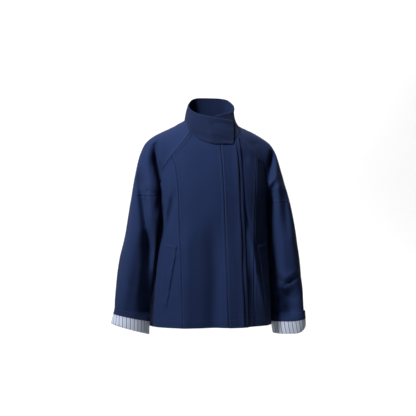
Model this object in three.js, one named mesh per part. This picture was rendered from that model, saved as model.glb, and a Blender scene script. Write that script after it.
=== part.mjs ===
import * as THREE from 'three';

// Funnel-neck jacket, filled out as it is worn, with nobody in it.
// Millimetres. +Z is up, the front faces -Y and +X is the wearer's left.
// The origin is the middle of the base of the neck, where the wearer carries the jacket.

// Driving dimensions
const cloth = 1.4; // one layer of twill
const seam = 0.2; // what each piece keeps back from its seam line
const layer = 2.4; // step from one layer of cloth to the next one over it
const hem = -641; // height of the hem
const squareness = 2.4; // exponent of the rounded section of the body
const right = -1;
const left = 1;

// Folds and the front's overlap are laid out on the front as seen from a little to its right
const viewTurn = THREE.MathUtils.degToRad(13);

// Sections of the body: height, sideways lean, half width, depth to the front and to the back
const bodySections = [
  { z: -650, lean: 8, half: 206, front: 146, back: 130 },
  { z: -520, lean: 8, half: 200, front: 142, back: 123 },
  { z: -400, lean: 8, half: 194, front: 136, back: 115 },
  { z: -300, lean: 8, half: 190, front: 131, back: 110 },
  { z: -230, lean: 9, half: 188, front: 128, back: 107 },
  { z: -195, lean: 10, half: 188, front: 126, back: 106 },
  { z: -150, lean: 10, half: 186, front: 120, back: 106 },
  { z: -123, lean: 10, half: 183, front: 115, back: 105 },
  { z: -100, lean: 9, half: 179, front: 110, back: 103 },
  { z: -60, lean: 8, half: 170, front: 98, back: 98 },
  { z: -17, lean: 8, half: 155, front: 78, back: 88 },
  { z: 10, lean: 8, half: 138, front: 66, back: 76 },
  { z: 42, lean: 8, half: 118, front: 50, back: 60 },
];

// Seam lines: distance from the middle of the body at each height
const princessSeam = [
  { z: -650, x: 118 },
  { z: -400, x: 122 },
  { z: -236, x: 127 },
  { z: -150, x: 132 },
  { z: -110, x: 136.5 },
  { z: -85, x: 142 },
];
const frontRaglanSeam = [
  { z: -195, x: 188 },
  { z: -190, x: 185 },
  { z: -180, x: 180.5 },
  { z: -164, x: 176 },
  { z: -146, x: 174 },
  { z: -127, x: 169.5 },
  { z: -107, x: 158 },
  { z: -85, x: 142 },
  { z: -50, x: 113 },
  { z: -15, x: 84 },
  { z: -6, x: 79 },
];
const backRaglanSeam = [
  { z: -195, x: 188 },
  { z: -169, x: 184 },
  { z: -140, x: 177 },
  { z: -110, x: 165.5 },
  { z: -80, x: 150 },
  { z: -50, x: 132 },
  { z: -24, x: 114 },
  { z: 0, x: 95 },
  { z: 20, x: 78 },
  { z: 41, x: 60 },
];

// Front overlap: its lines, measured across the front from the middle plane
const placketSeam = [{ z: -650, x: 37 }, { z: -45, x: 21 }];
const coverEdge = [{ z: -650, x: 87 }, { z: -45, x: 71 }];
const underlayEdge = [{ z: -650, x: 104 }, { z: -30, x: 86 }];
const hiddenEdge = [{ z: -650, x: 32 }, { z: -45, x: 16 }];

// Front neckline from the wearer's right to the left
const frontNeckline = [
  { x: -71, z: -6 },
  { x: -60, z: -17 },
  { x: -48, z: -29 },
  { x: -38, z: -36 },
  { x: -26, z: -41 },
  { x: -3, z: -45.5 },
  { x: 21, z: -45.5 },
  { x: 50, z: -42 },
  { x: 72, z: -32 },
  { x: 92, z: -15 },
];

// Raglan part of the sleeve. Each row runs from the front seam over the shoulder to the back seam:
// heights on the two seams, place of the overarm line, and how far each end keeps its direction
const shoulderRows = [
  { k: 0, frontRight: -6, frontLeft: -15, backRight: 41, backLeft: 36, xRight: 74, zRight: 31,
    xLeft: 96, zLeft: 21, y: 6, top: 28, seamEnd: 24, backTop: 18, backSeam: 18, wrap: 0, hug: 0 },
  { k: 1, frontRight: -36, frontLeft: -36, backRight: 20, backLeft: 20, xRight: 114, zRight: 9,
    xLeft: 115, zLeft: 9, y: 6, top: 40, seamEnd: 30, backTop: 28, backSeam: 24, wrap: 0, hug: 0 },
  { k: 2, frontRight: -60, frontLeft: -60, backRight: 0, backLeft: 0, xRight: 151, zRight: -8,
    xLeft: 153, zLeft: -8, y: 6, top: 46, seamEnd: 34, backTop: 36, backSeam: 30, wrap: 0, hug: 0 },
  { k: 3, frontRight: -85, frontLeft: -85, backRight: -24, backLeft: -24, xRight: 182, zRight: -24,
    xLeft: 185, zLeft: -26, y: 5, top: 50, seamEnd: 36, backTop: 42, backSeam: 34, wrap: 0, hug: 0 },
  { k: 4, frontRight: -107, frontLeft: -107, backRight: -50, backLeft: -50, xRight: 206, zRight: -45,
    xLeft: 212, zLeft: -46, y: 3, top: 54, seamEnd: 40, backTop: 50, backSeam: 40, wrap: 0.12, hug: 0.1 },
  { k: 5, frontRight: -127, frontLeft: -127, backRight: -80, backLeft: -80, xRight: 220, zRight: -71,
    xLeft: 229, zLeft: -72, y: 0, top: 60, seamEnd: 46, backTop: 58, backSeam: 46, wrap: 0.3, hug: 0.22 },
  { k: 6, frontRight: -146, frontLeft: -146, backRight: -110, backLeft: -110, xRight: 230, zRight: -100,
    xLeft: 240, zLeft: -101, y: -2, top: 68, seamEnd: 48, backTop: 68, backSeam: 56, wrap: 0.5, hug: 0.34 },
  { k: 7, frontRight: -164, frontLeft: -164, backRight: -140, backLeft: -140, xRight: 238, zRight: -133,
    xLeft: 248.5, zLeft: -133, y: -4, top: 76, seamEnd: 54, backTop: 80, backSeam: 70, wrap: 0.72, hug: 0.4 },
  { k: 8, frontRight: -180, frontLeft: -180, backRight: -169, backLeft: -169, xRight: 245, zRight: -167,
    xLeft: 257.5, zLeft: -167, y: -5, top: 84, seamEnd: 70, backTop: 90, backSeam: 84, wrap: 0.9, hug: 0.3 },
  { k: 9, frontRight: -195, frontLeft: -195, backRight: -195, backLeft: -195, xRight: 251, zRight: -200,
    xLeft: 265.5, zLeft: -200, y: -7, top: 102, seamEnd: 102, backTop: 98, backSeam: 98, wrap: 1, hug: 0.08 },
];

// Arm below the underarm point: heights, outer edges, inner edges, middle, depths to the front and the back,
// how far forward the inner seams lie, how far the arms hug the body in front of them,
// and how much lower the inner edges lie than the outer ones
const armRows = [
  { k: 9, zRight: -200, zLeft: -200, xRight: 251, xLeft: 265.5, innerRight: 188, innerLeft: 188, y: -7,
    front: 77, back: 74, footRight: 0, footLeft: 0, hugRight: 0.08, hugLeft: 0.08, dropRight: -5, dropLeft: -5 },
  { k: 10, zRight: -214, zLeft: -214, xRight: 253, xLeft: 269, innerRight: 190.5, innerLeft: 190.5, y: -8,
    front: 77, back: 74, footRight: -9, footLeft: -3, hugRight: 0.32, hugLeft: 0.1, dropRight: 0, dropLeft: 0 },
  { k: 11, zRight: -236, zLeft: -236, xRight: 257, xLeft: 274.5, innerRight: 191.5, innerLeft: 191.5, y: -9,
    front: 77, back: 73, footRight: -19, footLeft: -6, hugRight: 0.44, hugLeft: 0.1, dropRight: 0, dropLeft: 0 },
  { k: 12, zRight: -270, zLeft: -270, xRight: 263, xLeft: 282.5, innerRight: 192, innerLeft: 192.5, y: -11,
    front: 76, back: 72, footRight: -29, footLeft: -8, hugRight: 0.42, hugLeft: 0.1, dropRight: 0, dropLeft: 0 },
  { k: 13, zRight: -305, zLeft: -305, xRight: 269.5, xLeft: 289.5, innerRight: 192.5, innerLeft: 194, y: -13,
    front: 75, back: 71, footRight: -35, footLeft: -9, hugRight: 0.36, hugLeft: 0.1, dropRight: 0, dropLeft: 0 },
  { k: 14, zRight: -340, zLeft: -340, xRight: 276.5, xLeft: 295, innerRight: 194, innerLeft: 195.5, y: -16,
    front: 74, back: 70, footRight: -38, footLeft: -10, hugRight: 0.28, hugLeft: 0.1, dropRight: 0, dropLeft: 0 },
  { k: 15, zRight: -375, zLeft: -375, xRight: 284.5, xLeft: 300, innerRight: 196, innerLeft: 197, y: -18,
    front: 72, back: 68, footRight: -40, footLeft: -10, hugRight: 0.25, hugLeft: 0.1, dropRight: 0, dropLeft: 0 },
  { k: 16, zRight: -410, zLeft: -410, xRight: 293.5, xLeft: 305, innerRight: 197.5, innerLeft: 198.5, y: -21,
    front: 70, back: 66, footRight: -41, footLeft: -10, hugRight: 0.22, hugLeft: 0.1, dropRight: 0, dropLeft: 0 },
  { k: 17, zRight: -445, zLeft: -447, xRight: 300.5, xLeft: 308.5, innerRight: 200, innerLeft: 200.5, y: -24,
    front: 68, back: 64, footRight: -42, footLeft: -11, hugRight: 0.2, hugLeft: 0.08, dropRight: 0, dropLeft: 0 },
  { k: 18, zRight: -480, zLeft: -484, xRight: 306.5, xLeft: 311.5, innerRight: 202, innerLeft: 202.5, y: -26,
    front: 65, back: 61, footRight: -42, footLeft: -12, hugRight: 0.18, hugLeft: 0.06, dropRight: 2, dropLeft: 1 },
  { k: 19, zRight: -515, zLeft: -523, xRight: 310.5, xLeft: 317, innerRight: 204.5, innerLeft: 204.5, y: -28,
    front: 61, back: 57, footRight: -41, footLeft: -13, hugRight: 0.14, hugLeft: 0.04, dropRight: 4, dropLeft: 2 },
  { k: 20, zRight: -550, zLeft: -562, xRight: 313.5, xLeft: 320, innerRight: 207, innerLeft: 206, y: -29,
    front: 56, back: 53, footRight: -39, footLeft: -14, hugRight: 0.1, hugLeft: 0.02, dropRight: 9, dropLeft: 5 },
  { k: 21, zRight: -580, zLeft: -600, xRight: 314.5, xLeft: 322, innerRight: 210, innerLeft: 208.5, y: -30,
    front: 52, back: 49, footRight: -36, footLeft: -16, hugRight: 0.07, hugLeft: 0, dropRight: 18, dropLeft: 7 },
  { k: 22, zRight: -606, zLeft: -633, xRight: 317, xLeft: 324, innerRight: 213, innerLeft: 210.5, y: -31,
    front: 48, back: 46, footRight: -33, footLeft: -20, hugRight: 0.04, hugLeft: 0, dropRight: 27, dropLeft: 9 },
  { k: 23, zRight: -631, zLeft: -661, xRight: 322, xLeft: 326, innerRight: 214, innerLeft: 212.5, y: -31,
    front: 46, back: 44, footRight: -31, footLeft: -25, hugRight: 0.02, hugLeft: 0, dropRight: 35, dropLeft: 12 },
];
const underarmRow = 9;
const elbowSeamRow = { [right]: 10, [left]: 11 };
const forearmRow = 18; // from here down the slant of the wrist sets in
const wristRow = 23;
const wristRowHeight = 25; // length of sleeve between two rows near the wrist

// Largest folds, drawn as lines on the front seen from its right, or on the plain back view.
// depth is below zero for a trough and above it for a ridge
const folds = [
  { on: 'right', face: 'front', from: [-178, -56], via: [-172, -130], to: [-152, -200], half: 11, depth: -10 },
  { on: 'right', face: 'front', from: [-234, -140], via: [-212, -240], to: [-196, -350], half: 12, depth: -8 },
  { on: 'right', face: 'front', from: [-196, -110], via: [-190, -160], to: [-180, -225], half: 12, depth: 5 },
  { on: 'right', face: 'front', from: [-262, -330], via: [-272, -430], to: [-283, -560], half: 24, depth: 5 },
  { on: 'left', face: 'front', from: [207, -70], via: [200, -110], to: [194, -150], half: 11, depth: -8 },
  { on: 'left', face: 'front', from: [222, -165], via: [210, -180], to: [198, -195], half: 8, depth: -6 },
  { on: 'left', face: 'front', from: [226, -130], via: [238, -250], to: [250, -440], half: 15, depth: 6 },
  { on: 'left', face: 'front', from: [238, -480], via: [262, -512], to: [290, -480], half: 9, depth: -5 },
  { on: 'left', face: 'front', from: [276, -540], via: [280, -580], to: [284, -620], half: 14, depth: 4 },
  { on: 'body', face: 'front', from: [-128, -205], via: [-136, -255], to: [-145, -310], half: 11, depth: -4 },
  { on: 'body', face: 'front', from: [-26, -300], via: [10, -450], to: [18, -641], half: 34, depth: -7 },
  { on: 'body', face: 'front', from: [-60, -300], via: [-62, -450], to: [-64, -641], half: 26, depth: 6 },
  { on: 'body', face: 'front', from: [125, -310], via: [165, -470], to: [190, -641], half: 20, depth: 7 },
  { on: 'body', face: 'front', from: [150, -560], via: [158, -600], to: [164, -641], half: 16, depth: -4 },
  { on: 'right', face: 'back', from: [-205, -70], via: [-200, -140], to: [-190, -200], half: 13, depth: -7 },
  { on: 'right', face: 'back', from: [-250, -330], via: [-228, -380], to: [-215, -440], half: 13, depth: -6 },
  { on: 'left', face: 'back', from: [198, -80], via: [196, -140], to: [192, -210], half: 13, depth: -7 },
  { on: 'left', face: 'back', from: [262, -370], via: [240, -410], to: [222, -470], half: 13, depth: -6 },
  { on: 'body', face: 'back', from: [-70, -330], via: [-82, -480], to: [-95, -641], half: 30, depth: 7 },
  { on: 'body', face: 'back', from: [5, -300], via: [8, -470], to: [12, -641], half: 32, depth: -6 },
  { on: 'body', face: 'back', from: [85, -320], via: [96, -480], to: [105, -641], half: 30, depth: 7 },
  { on: 'body', face: 'back', from: [-140, -190], via: [-118, -230], to: [-90, -265], half: 13, depth: -4 },
  { on: 'body', face: 'back', from: [142, -195], via: [122, -240], to: [96, -280], half: 13, depth: -4 },
];

// Top edge of the collar, from the hidden under end round the back to the over end.
// around is the bearing of the foot below it, seen from the middle of the neck
const collarTop = [
  { around: 6, x: 12, y: -58, z: 46 },
  { around: 30, x: 38, y: -52, z: 52 },
  { around: 52, x: 65, y: -38, z: 58 },
  { around: 72, x: 83, y: -22, z: 64.5 },
  { around: 92, x: 91, y: -5, z: 76 },
  { around: 112, x: 88, y: 14, z: 88 },
  { around: 134, x: 74, y: 32, z: 101 },
  { around: 156, x: 48, y: 44, z: 106 },
  { around: 180, x: 12, y: 50, z: 107 },
  { around: 204, x: -24, y: 46, z: 106.5 },
  { around: 224, x: -46, y: 34, z: 100.5 },
  { around: 243, x: -59, y: 18, z: 89 },
  { around: 262, x: -65.5, y: 0, z: 81 },
  { around: 280, x: -67, y: -16, z: 74 },
  { around: 300, x: -61.5, y: -34, z: 64 },
  { around: 320, x: -47, y: -50, z: 54.5 },
  { around: 338, x: -26, y: -60, z: 48 },
  { around: 354, x: -2, y: -65, z: 43 },
  { around: 368, x: 22, y: -67, z: 39.5 },
  { around: 382, x: 50, y: -63, z: 35 },
  { around: 395, x: 77, y: -52, z: 29 },
  { around: 405, x: 90, y: -44, z: 26 },
];
const neckMiddle = new THREE.Vector2(8, -14);
const collarRise = 0.6; // gap between the neckline and the foot of the collar
const collarTab = { start: -26, clear: -4, dropped: 8, end: 60, drop: 2, sewn: 0.7, free: 5.4 };
const collarBulge = { over: 2.2, under: -5 };

// Welt of a side pocket: corners across and up the side front
const welt = {
  topInner: [132.5, -378],
  topOuter: [168, -369],
  bottomInner: [164, -576],
  bottomOuter: [184, -557],
};

// Turned-up cuff: section points as distance out from the sleeve and height above its end
const cuffTurnUp = 31; // height of the lining that shows
const facingTop = 49.5;
const sleeveEnd = { [right]: 2.8, [left]: 14 };
const dropSpread = { [right]: 1, [left]: 0.45 }; // share of the way round over which the wrist drops
const cornerLift = { [right]: 0, [left]: 10 }; // how far the outer corner of a cuff is rounded upwards
const cornerSpread = 0.35; // share of the way round that this corner takes
const topTilt = -0.05; // fall of the shoulder's cloth where it leaves the overarm line
const cuffInner = 0.6; // share of a cuff's distance from the sleeve that is left on its inner side
const cuffLiningSection = {
  [right]: [
    [4.4, cuffTurnUp], [5.6, 15], [6.2, 0.8], [-0.7, -1.6], [-4.1, 0.8], [-3.5, 22],
    [-2.1, 22], [-2.1, 2.2], [-0.7, 1.2], [4.6, 2.2], [4.2, 15], [3.0, cuffTurnUp],
  ],
  [left]: [
    [5.6, cuffTurnUp], [5.2, 15], [3.6, 0.8], [-0.7, -1.6], [-4.1, 0.8], [-3.5, 22],
    [-2.1, 22], [-2.1, 2.2], [-0.7, 1.2], [2.0, 2.2], [3.8, 15], [4.2, cuffTurnUp],
  ],
};
const cuffFacingSection = {
  [right]: [
    [4.4, cuffTurnUp + 0.4], [2.9, 40], [1.9, facingTop], [0.5, facingTop], [1.5, 40], [3.0, cuffTurnUp + 0.4],
  ],
  [left]: [
    [5.6, cuffTurnUp + 0.4], [5.6, 40], [5.6, facingTop], [4.2, facingTop], [4.2, 40], [4.2, cuffTurnUp + 0.4],
  ],
};

// Smooth curve through the rows of a table, from one column to another
function tableCurve(rows, by, column) {
  const slopes = rows.map((row, n) => {
    const before = rows[Math.max(n - 1, 0)];
    const after = rows[Math.min(n + 1, rows.length - 1)];
    return (after[column] - before[column]) / (after[by] - before[by]);
  });
  return (at) => {
    const place = THREE.MathUtils.clamp(at, rows[0][by], rows[rows.length - 1][by]);
    let n = rows.length - 2;
    while (n > 0 && rows[n][by] > place) n -= 1;
    const span = rows[n + 1][by] - rows[n][by];
    const t = (place - rows[n][by]) / span;
    const rise = t * t * (3 - 2 * t);
    return (
      rows[n][column] * (1 - rise) +
      rows[n + 1][column] * rise +
      slopes[n] * span * t * (1 - t) * (1 - t) -
      slopes[n + 1] * span * t * t * (1 - t)
    );
  };
}

function tableCurves(rows, by) {
  const columns = Object.keys(rows[0]).filter((name) => name !== by);
  return Object.fromEntries(columns.map((name) => [name, tableCurve(rows, by, name)]));
}

const body = tableCurves(bodySections, 'z');
const shoulder = tableCurves(shoulderRows, 'k');
const arm = tableCurves(armRows, 'k');
const collarEdge = tableCurves(collarTop, 'around');
const princessX = tableCurve(princessSeam, 'z', 'x');
const frontRaglanX = tableCurve(frontRaglanSeam, 'z', 'x');
const backRaglanX = tableCurve(backRaglanSeam, 'z', 'x');
const placketX = tableCurve(placketSeam, 'z', 'x');
const coverX = tableCurve(coverEdge, 'z', 'x');
const underlayX = tableCurve(underlayEdge, 'z', 'x');
const hiddenX = tableCurve(hiddenEdge, 'z', 'x');
const neckZ = tableCurve(frontNeckline, 'x', 'z');

const mix = THREE.MathUtils.lerp;
const ramp = (value, low, high) => THREE.MathUtils.smoothstep(value, low, high);
const evenly = (count) => Array.from({ length: count + 1 }, (_, n) => n / count);

// Distance from a point to a fold's bent line, and the share of the way along it
function alongFold(fold, x, z) {
  const line = [fold.from, fold.via, fold.to];
  let nearest = { distance: Infinity, share: 0 };
  for (let n = 0; n < 2; n += 1) {
    const [ax, az] = line[n];
    const [bx, bz] = line[n + 1];
    const length = Math.hypot(bx - ax, bz - az);
    const t = THREE.MathUtils.clamp(((x - ax) * (bx - ax) + (z - az) * (bz - az)) / length ** 2, 0, 1);
    const distance = Math.hypot(x - mix(ax, bx, t), z - mix(az, bz, t));
    if (distance < nearest.distance) nearest = { distance, share: (n + t) / 2 };
  }
  return nearest;
}

// How far the folds move a point of the body or of a sleeve, along its way out
function foldShift(point, way, on) {
  let shift = 0;
  for (const fold of folds) {
    if (fold.on !== on) continue;
    const turn = fold.face === 'front' ? viewTurn : 0;
    const across = point.x * Math.cos(turn) - point.y * Math.sin(turn);
    const seen = -way.x * Math.sin(turn) - way.y * Math.cos(turn);
    const facing = ramp(fold.face === 'front' ? seen : -seen, -0.1, 0.45);
    if (facing === 0) continue;
    const { distance, share } = alongFold(fold, across, point.z);
    const open = fold.to[1] <= hem ? ramp(share, 0, 0.35) : Math.sin(Math.PI * mix(0.08, 0.92, share));
    shift += fold.depth * facing * open * Math.exp(-((distance / fold.half) ** 2));
  }
  return shift;
}

// Point of the body at a bearing (0 in front, positive to the wearer's left) and a height
function bodyPoint(bearing, z, out = 0) {
  const depth = Math.cos(bearing) > 0 ? body.front(z) : body.back(z);
  const sideways = Math.abs(Math.sin(bearing)) / body.half(z);
  const forwards = Math.abs(Math.cos(bearing)) / depth;
  const reach = (sideways ** squareness + forwards ** squareness) ** (-1 / squareness);
  const way = new THREE.Vector3(Math.sin(bearing), -Math.cos(bearing), 0);
  const point = way.clone().multiplyScalar(reach).setZ(z);
  point.x += body.lean(z);
  point.addScaledVector(way, foldShift(point, way, 'body') + out);
  return { point, way };
}

// Bearing at which the section at height z is x away from its own middle
function bearingAt(x, z, face) {
  const share = Math.min(Math.abs(x) / body.half(z), 1) ** squareness;
  const depth = face === 'front' ? body.front(z) : -body.back(z);
  return Math.atan2(x, depth * (1 - share) ** (1 / squareness));
}

// Bearing of a line that is measured from the middle plane
const frontBearing = (x, z) => bearingAt(x - body.lean(z), z, 'front');

// The right front climbs over the layers of the overlap as it comes near the placket
const overlapRise = (x) => 2 * layer * ramp(x, -60, 20);

// Closed wall of cloth between two skins of a grid of points. closed joins the first column to the last
function clothWall(name, grid, colour, { outer = 0, inner = -cloth, closed = false } = {}) {
  const columns = grid.length;
  const rows = grid[0].length;
  const positions = [];
  for (const offset of [outer, inner]) {
    for (const column of grid) {
      for (const { point, way } of column) {
        positions.push(...point.clone().addScaledVector(way, offset).toArray());
      }
    }
  }
  const at = (skin, i, j) => (skin * columns + (i % columns)) * rows + j;
  const faces = [];
  const quad = (a, b, c, d) => faces.push(a, b, c, a, c, d);
  const spans = closed ? columns : columns - 1;
  for (let i = 0; i < spans; i += 1) {
    for (let j = 0; j < rows - 1; j += 1) {
      quad(at(0, i, j), at(0, i + 1, j), at(0, i + 1, j + 1), at(0, i, j + 1));
      quad(at(1, i, j), at(1, i, j + 1), at(1, i + 1, j + 1), at(1, i + 1, j));
    }
    quad(at(0, i, 0), at(1, i, 0), at(1, i + 1, 0), at(0, i + 1, 0));
    quad(at(0, i, rows - 1), at(0, i + 1, rows - 1), at(1, i + 1, rows - 1), at(1, i, rows - 1));
  }
  if (!closed) {
    for (let j = 0; j < rows - 1; j += 1) {
      quad(at(0, 0, j), at(0, 0, j + 1), at(1, 0, j + 1), at(1, 0, j));
      const end = columns - 1;
      quad(at(0, end, j), at(1, end, j), at(1, end, j + 1), at(0, end, j + 1));
    }
  }
  return solid(name, positions, faces, colour);
}

// Ring whose columns are closed sections
function clothRing(name, sections, colour) {
  const columns = sections.length;
  const rows = sections[0].length;
  const at = (i, j) => (i % columns) * rows + (j % rows);
  const faces = [];
  for (let i = 0; i < columns; i += 1) {
    for (let j = 0; j < rows; j += 1) {
      const [a, b, c, d] = [at(i, j), at(i + 1, j), at(i + 1, j + 1), at(i, j + 1)];
      faces.push(a, b, c, a, c, d);
    }
  }
  return solid(name, sections.flat().flatMap((point) => point.toArray()), faces, colour);
}

// Mesh of a closed skin, with its faces turned outwards
function solid(name, positions, faces, colour) {
  const corner = (n) => new THREE.Vector3().fromArray(positions, faces[n] * 3);
  let volume = 0;
  for (let n = 0; n < faces.length; n += 3) {
    volume += corner(n).dot(corner(n + 1).cross(corner(n + 2)));
  }
  const turned = volume < 0 ? faces.slice().reverse() : faces;
  const geometry = new THREE.BufferGeometry();
  geometry.setAttribute('position', new THREE.Float32BufferAttribute(positions, 3));
  geometry.setIndex(turned);
  geometry.computeVertexNormals();
  const material = new THREE.MeshStandardMaterial({ color: colour, roughness: 0.85, metalness: 0 });
  const mesh = new THREE.Mesh(geometry, material);
  mesh.name = name;
  return mesh;
}

const navy = 0x26305a;
const striped = 0xc8ccd6;

// Heights of the rows of the body, shared by every piece that meets at a seam
const lowRows = [hem, -616, -585, -550, -515, -480, -445, -410, -375, -340, -305, -270, -235, -195];
const frontSeamRows = shoulderRows.slice(1, 9).map((row) => row.frontRight).reverse();
const backSeamRows = shoulderRows.slice(1, 9).map((row) => row.backRight).reverse();

// Piece of the body between two edges. Each edge gives bearing and height for every row,
// and topLine bends the top row, with a share of the bend in the rows above bendFrom
function bodyPanel(innerEdge, outerEdge, across, { rise = () => 0, topLine, bendFrom = 0 } = {}) {
  const last = innerEdge.length - 1;
  return evenly(across).map((u) =>
    innerEdge.map((inner, j) => {
      const outer = outerEdge[j];
      const inset = mix(seam, -seam, u) / 150;
      const facing = Math.sign(outer.bearing - inner.bearing);
      let bearing = mix(inner.bearing, outer.bearing, u) + inset * facing;
      let z = mix(inner.z, outer.z, u);
      if (topLine && j > bendFrom) {
        const share = (j - bendFrom) / (last - bendFrom);
        const bend = topLine(u);
        bearing += bend.bearing * share;
        z += bend.z * share;
      }
      const plain = bodyPoint(bearing, z);
      return bodyPoint(bearing, z, rise(plain.point.x));
    }),
  );
}

const neckHeight = { [right]: shoulderRows[0].frontRight, [left]: shoulderRows[0].frontLeft };
const napeHeight = { [right]: shoulderRows[0].backRight, [left]: shoulderRows[0].backLeft };

// Front middle piece, from the overlap's edge to the princess seam and the raglan seam above it
function frontCentre(side, edgeX, across) {
  const heights = [...lowRows, ...frontSeamRows, neckHeight[side]];
  const joint = heights.indexOf(-85);
  const edgeTop = neckZ(edgeX(0));
  const outerEdge = heights.map((z, j) => {
    const x = j <= joint ? princessX(z) : frontRaglanX(z);
    return { bearing: side * bearingAt(x, z, 'front'), z };
  });
  const innerEdge = heights.map((height, j) => {
    const share = Math.max(0, (j - joint) / (heights.length - 1 - joint));
    const z = j <= joint ? height : mix(-85, edgeTop, share);
    return { bearing: frontBearing(edgeX(z), z), z };
  });
  const [foot, end] = [innerEdge[innerEdge.length - 1], outerEdge[outerEdge.length - 1]];
  const endX = side * frontRaglanX(end.z) + body.lean(end.z);
  const topLine = (u) => {
    const x = mix(edgeX(foot.z), endX, u);
    const z = neckZ(x);
    return { bearing: frontBearing(x, z) - mix(foot.bearing, end.bearing, u), z: z - mix(foot.z, end.z, u) };
  };
  return bodyPanel(innerEdge, outerEdge, across, {
    rise: side === right ? overlapRise : undefined, topLine, bendFrom: joint,
  });
}

// Front side piece, from the princess seam to the side seam and the raglan seam above it
function frontSide(side, across) {
  const tip = 5; // how far the tip stops below the meeting of its two seams
  const heights = [...lowRows, ...frontSeamRows.filter((z) => z < -85), -85 - tip];
  const innerEdge = heights.map((z) => ({ bearing: side * bearingAt(princessX(z), z, 'front'), z }));
  const outerEdge = heights.map((z) => ({
    bearing: z <= -195 ? (side * Math.PI) / 2 : side * bearingAt(frontRaglanX(z), z, 'front'), z,
  }));
  return bodyPanel(innerEdge, outerEdge, across);
}

// Back, in one piece from side seam to side seam
function backPiece(across) {
  const edge = (side) => {
    const low = lowRows.map((z) => ({ bearing: side === left ? Math.PI / 2 : 1.5 * Math.PI, z }));
    const high = [...backSeamRows, napeHeight[side]].map((z) => {
      const bearing = bearingAt(side * backRaglanX(z), z, 'back');
      return { bearing: bearing < 0 ? bearing + 2 * Math.PI : bearing, z };
    });
    return [...low, ...high];
  };
  return bodyPanel(edge(left), edge(right), across);
}

// Point of a sleeve. k is the row, and t runs over the front or the back from the overarm line
// at 0 to the seam on the inner side at 1
function sleevePoint(side, k, face, t) {
  const isFront = face === 'front';
  const name = side === right ? 'Right' : 'Left';
  const forward = isFront ? -1 : 1;
  const top = new THREE.Vector3();
  let foot;
  const topHandle = new THREE.Vector3();
  const footHandle = new THREE.Vector3();
  let calm; // share of the folds near a seam
  if (k <= underarmRow) {
    top.set(side * shoulder[`x${name}`](k), shoulder.y(k), shoulder[`z${name}`](k));
    const z = shoulder[(isFront ? 'front' : 'back') + name](k);
    const x = isFront ? frontRaglanX(z) : backRaglanX(z);
    const seamPoint = bodyPoint(bearingAt(side * x, z, isFront ? 'front' : 'back'), z);
    const wrap = shoulder.wrap(k);
    const toTop = top.clone().sub(seamPoint.point);
    foot = seamPoint.point.addScaledVector(toTop.clone().normalize(), (isFront ? 1 : 3) * seam + 0.6 * wrap);
    foot.y += forward * 1.5 * seam * wrap;
    const along = toTop.addScaledVector(seamPoint.way, -toTop.dot(seamPoint.way)).normalize();
    const round = new THREE.Vector3(-side * (isFront ? shoulder.hug(k) : 0), forward, 0);
    footHandle.copy(along.multiplyScalar(1 - wrap).addScaledVector(round, wrap));
    footHandle.multiplyScalar(isFront ? shoulder.seamEnd(k) : shoulder.backSeam(k));
    topHandle.set(0, forward, topTilt).multiplyScalar(isFront ? shoulder.top(k) : shoulder.backTop(k));
    calm = ramp(1 - t, 0, 0.2);
  } else {
    const z = arm[`z${name}`](k);
    const low = z - arm[`drop${name}`](k);
    top.set(side * arm[`x${name}`](k), arm.y(k), z);
    foot = new THREE.Vector3(side * arm[`inner${name}`](k) + body.lean(low), arm[`foot${name}`](k), low);
    const reach = (4 / 3) * (isFront ? arm.front(k) : arm.back(k));
    footHandle.set(isFront ? -side * arm[`hug${name}`](k) : 0, forward, 0).multiplyScalar(reach);
    topHandle.set(0, forward, mix(topTilt, 0, ramp(k, 9, 12))).multiplyScalar(reach);
    calm = mix(ramp(1 - t, 0, 0.2), 1, ramp(k, underarmRow, underarmRow + 2));
  }
  const curve = new THREE.CubicBezierCurve3(top, topHandle.add(top), footHandle.add(foot), foot);
  const point = curve.getPoint(t);
  const spread = mix(1, dropSpread[side], ramp(k, forearmRow, wristRow));
  point.z += (foot.z - top.z) * (ramp(t, 0, spread) - ramp(t, 0, 1));
  const middle = top.clone().add(foot).multiplyScalar(0.5);
  const way = point.clone().sub(middle).setZ(0).normalize();
  point.addScaledVector(way, calm * foldShift(point, way, side === right ? 'right' : 'left'));
  return point;
}

// Sleeve point with its way out, square to the surface
function sleeveVertex(side, k, face, t) {
  const step = 0.02;
  const point = sleevePoint(side, k, face, t);
  const inwards = sleevePoint(side, k, face, Math.min(t + step, 1));
  const around = inwards.sub(sleevePoint(side, k, face, Math.max(t - step, 0)));
  const low = Math.max(k - 5 * step, 0);
  const high = Math.min(k + 5 * step, wristRow);
  const down = sleevePoint(side, high, face, t).sub(sleevePoint(side, low, face, t));
  const way = down.cross(around).multiplyScalar(face === 'front' ? -side : side).normalize();
  return { point, way };
}

// One half of a sleeve between two rows, from the overarm line to the seam on its inner side
function sleeveHalf(side, face, kRows, across) {
  return evenly(across).map((u) =>
    kRows.map((k) => {
      const reach = k <= underarmRow ? shoulder[face === 'front' ? 'top' : 'backTop'](k) : (4 / 3) * arm[face](k);
      const inset = (2 * seam) / (3 * reach);
      const t = mix(inset, k <= underarmRow ? 1 : 1 - inset, u);
      return sleeveVertex(side, k, face, t);
    }),
  );
}

// Collar: a strip that stands on the neckline. It starts under the overlap, goes round the back
// and ends over the front, where its last stretch lies free on the placket
function neckFeet() {
  const topOf = (grid) => grid.map((column) => column[column.length - 1]);
  const sleeveTop = (side, face) => topOf(sleeveHalf(side, face, [0], 5));
  const flat = topOf(placketStrip(placketX, () => collarTab.end, { top: -45.5, across: 5, outer: 2 * layer }));
  return [
    ...topOf(frontCentre(left, hiddenX, 8)),
    ...sleeveTop(left, 'front').reverse(),
    ...sleeveTop(left, 'back'),
    ...topOf(backPiece(20)),
    ...sleeveTop(right, 'back').reverse(),
    ...sleeveTop(right, 'front'),
    ...topOf(frontCentre(right, placketX, 11)).reverse(),
    ...flat,
  ].map(({ point }) => point);
}

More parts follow.
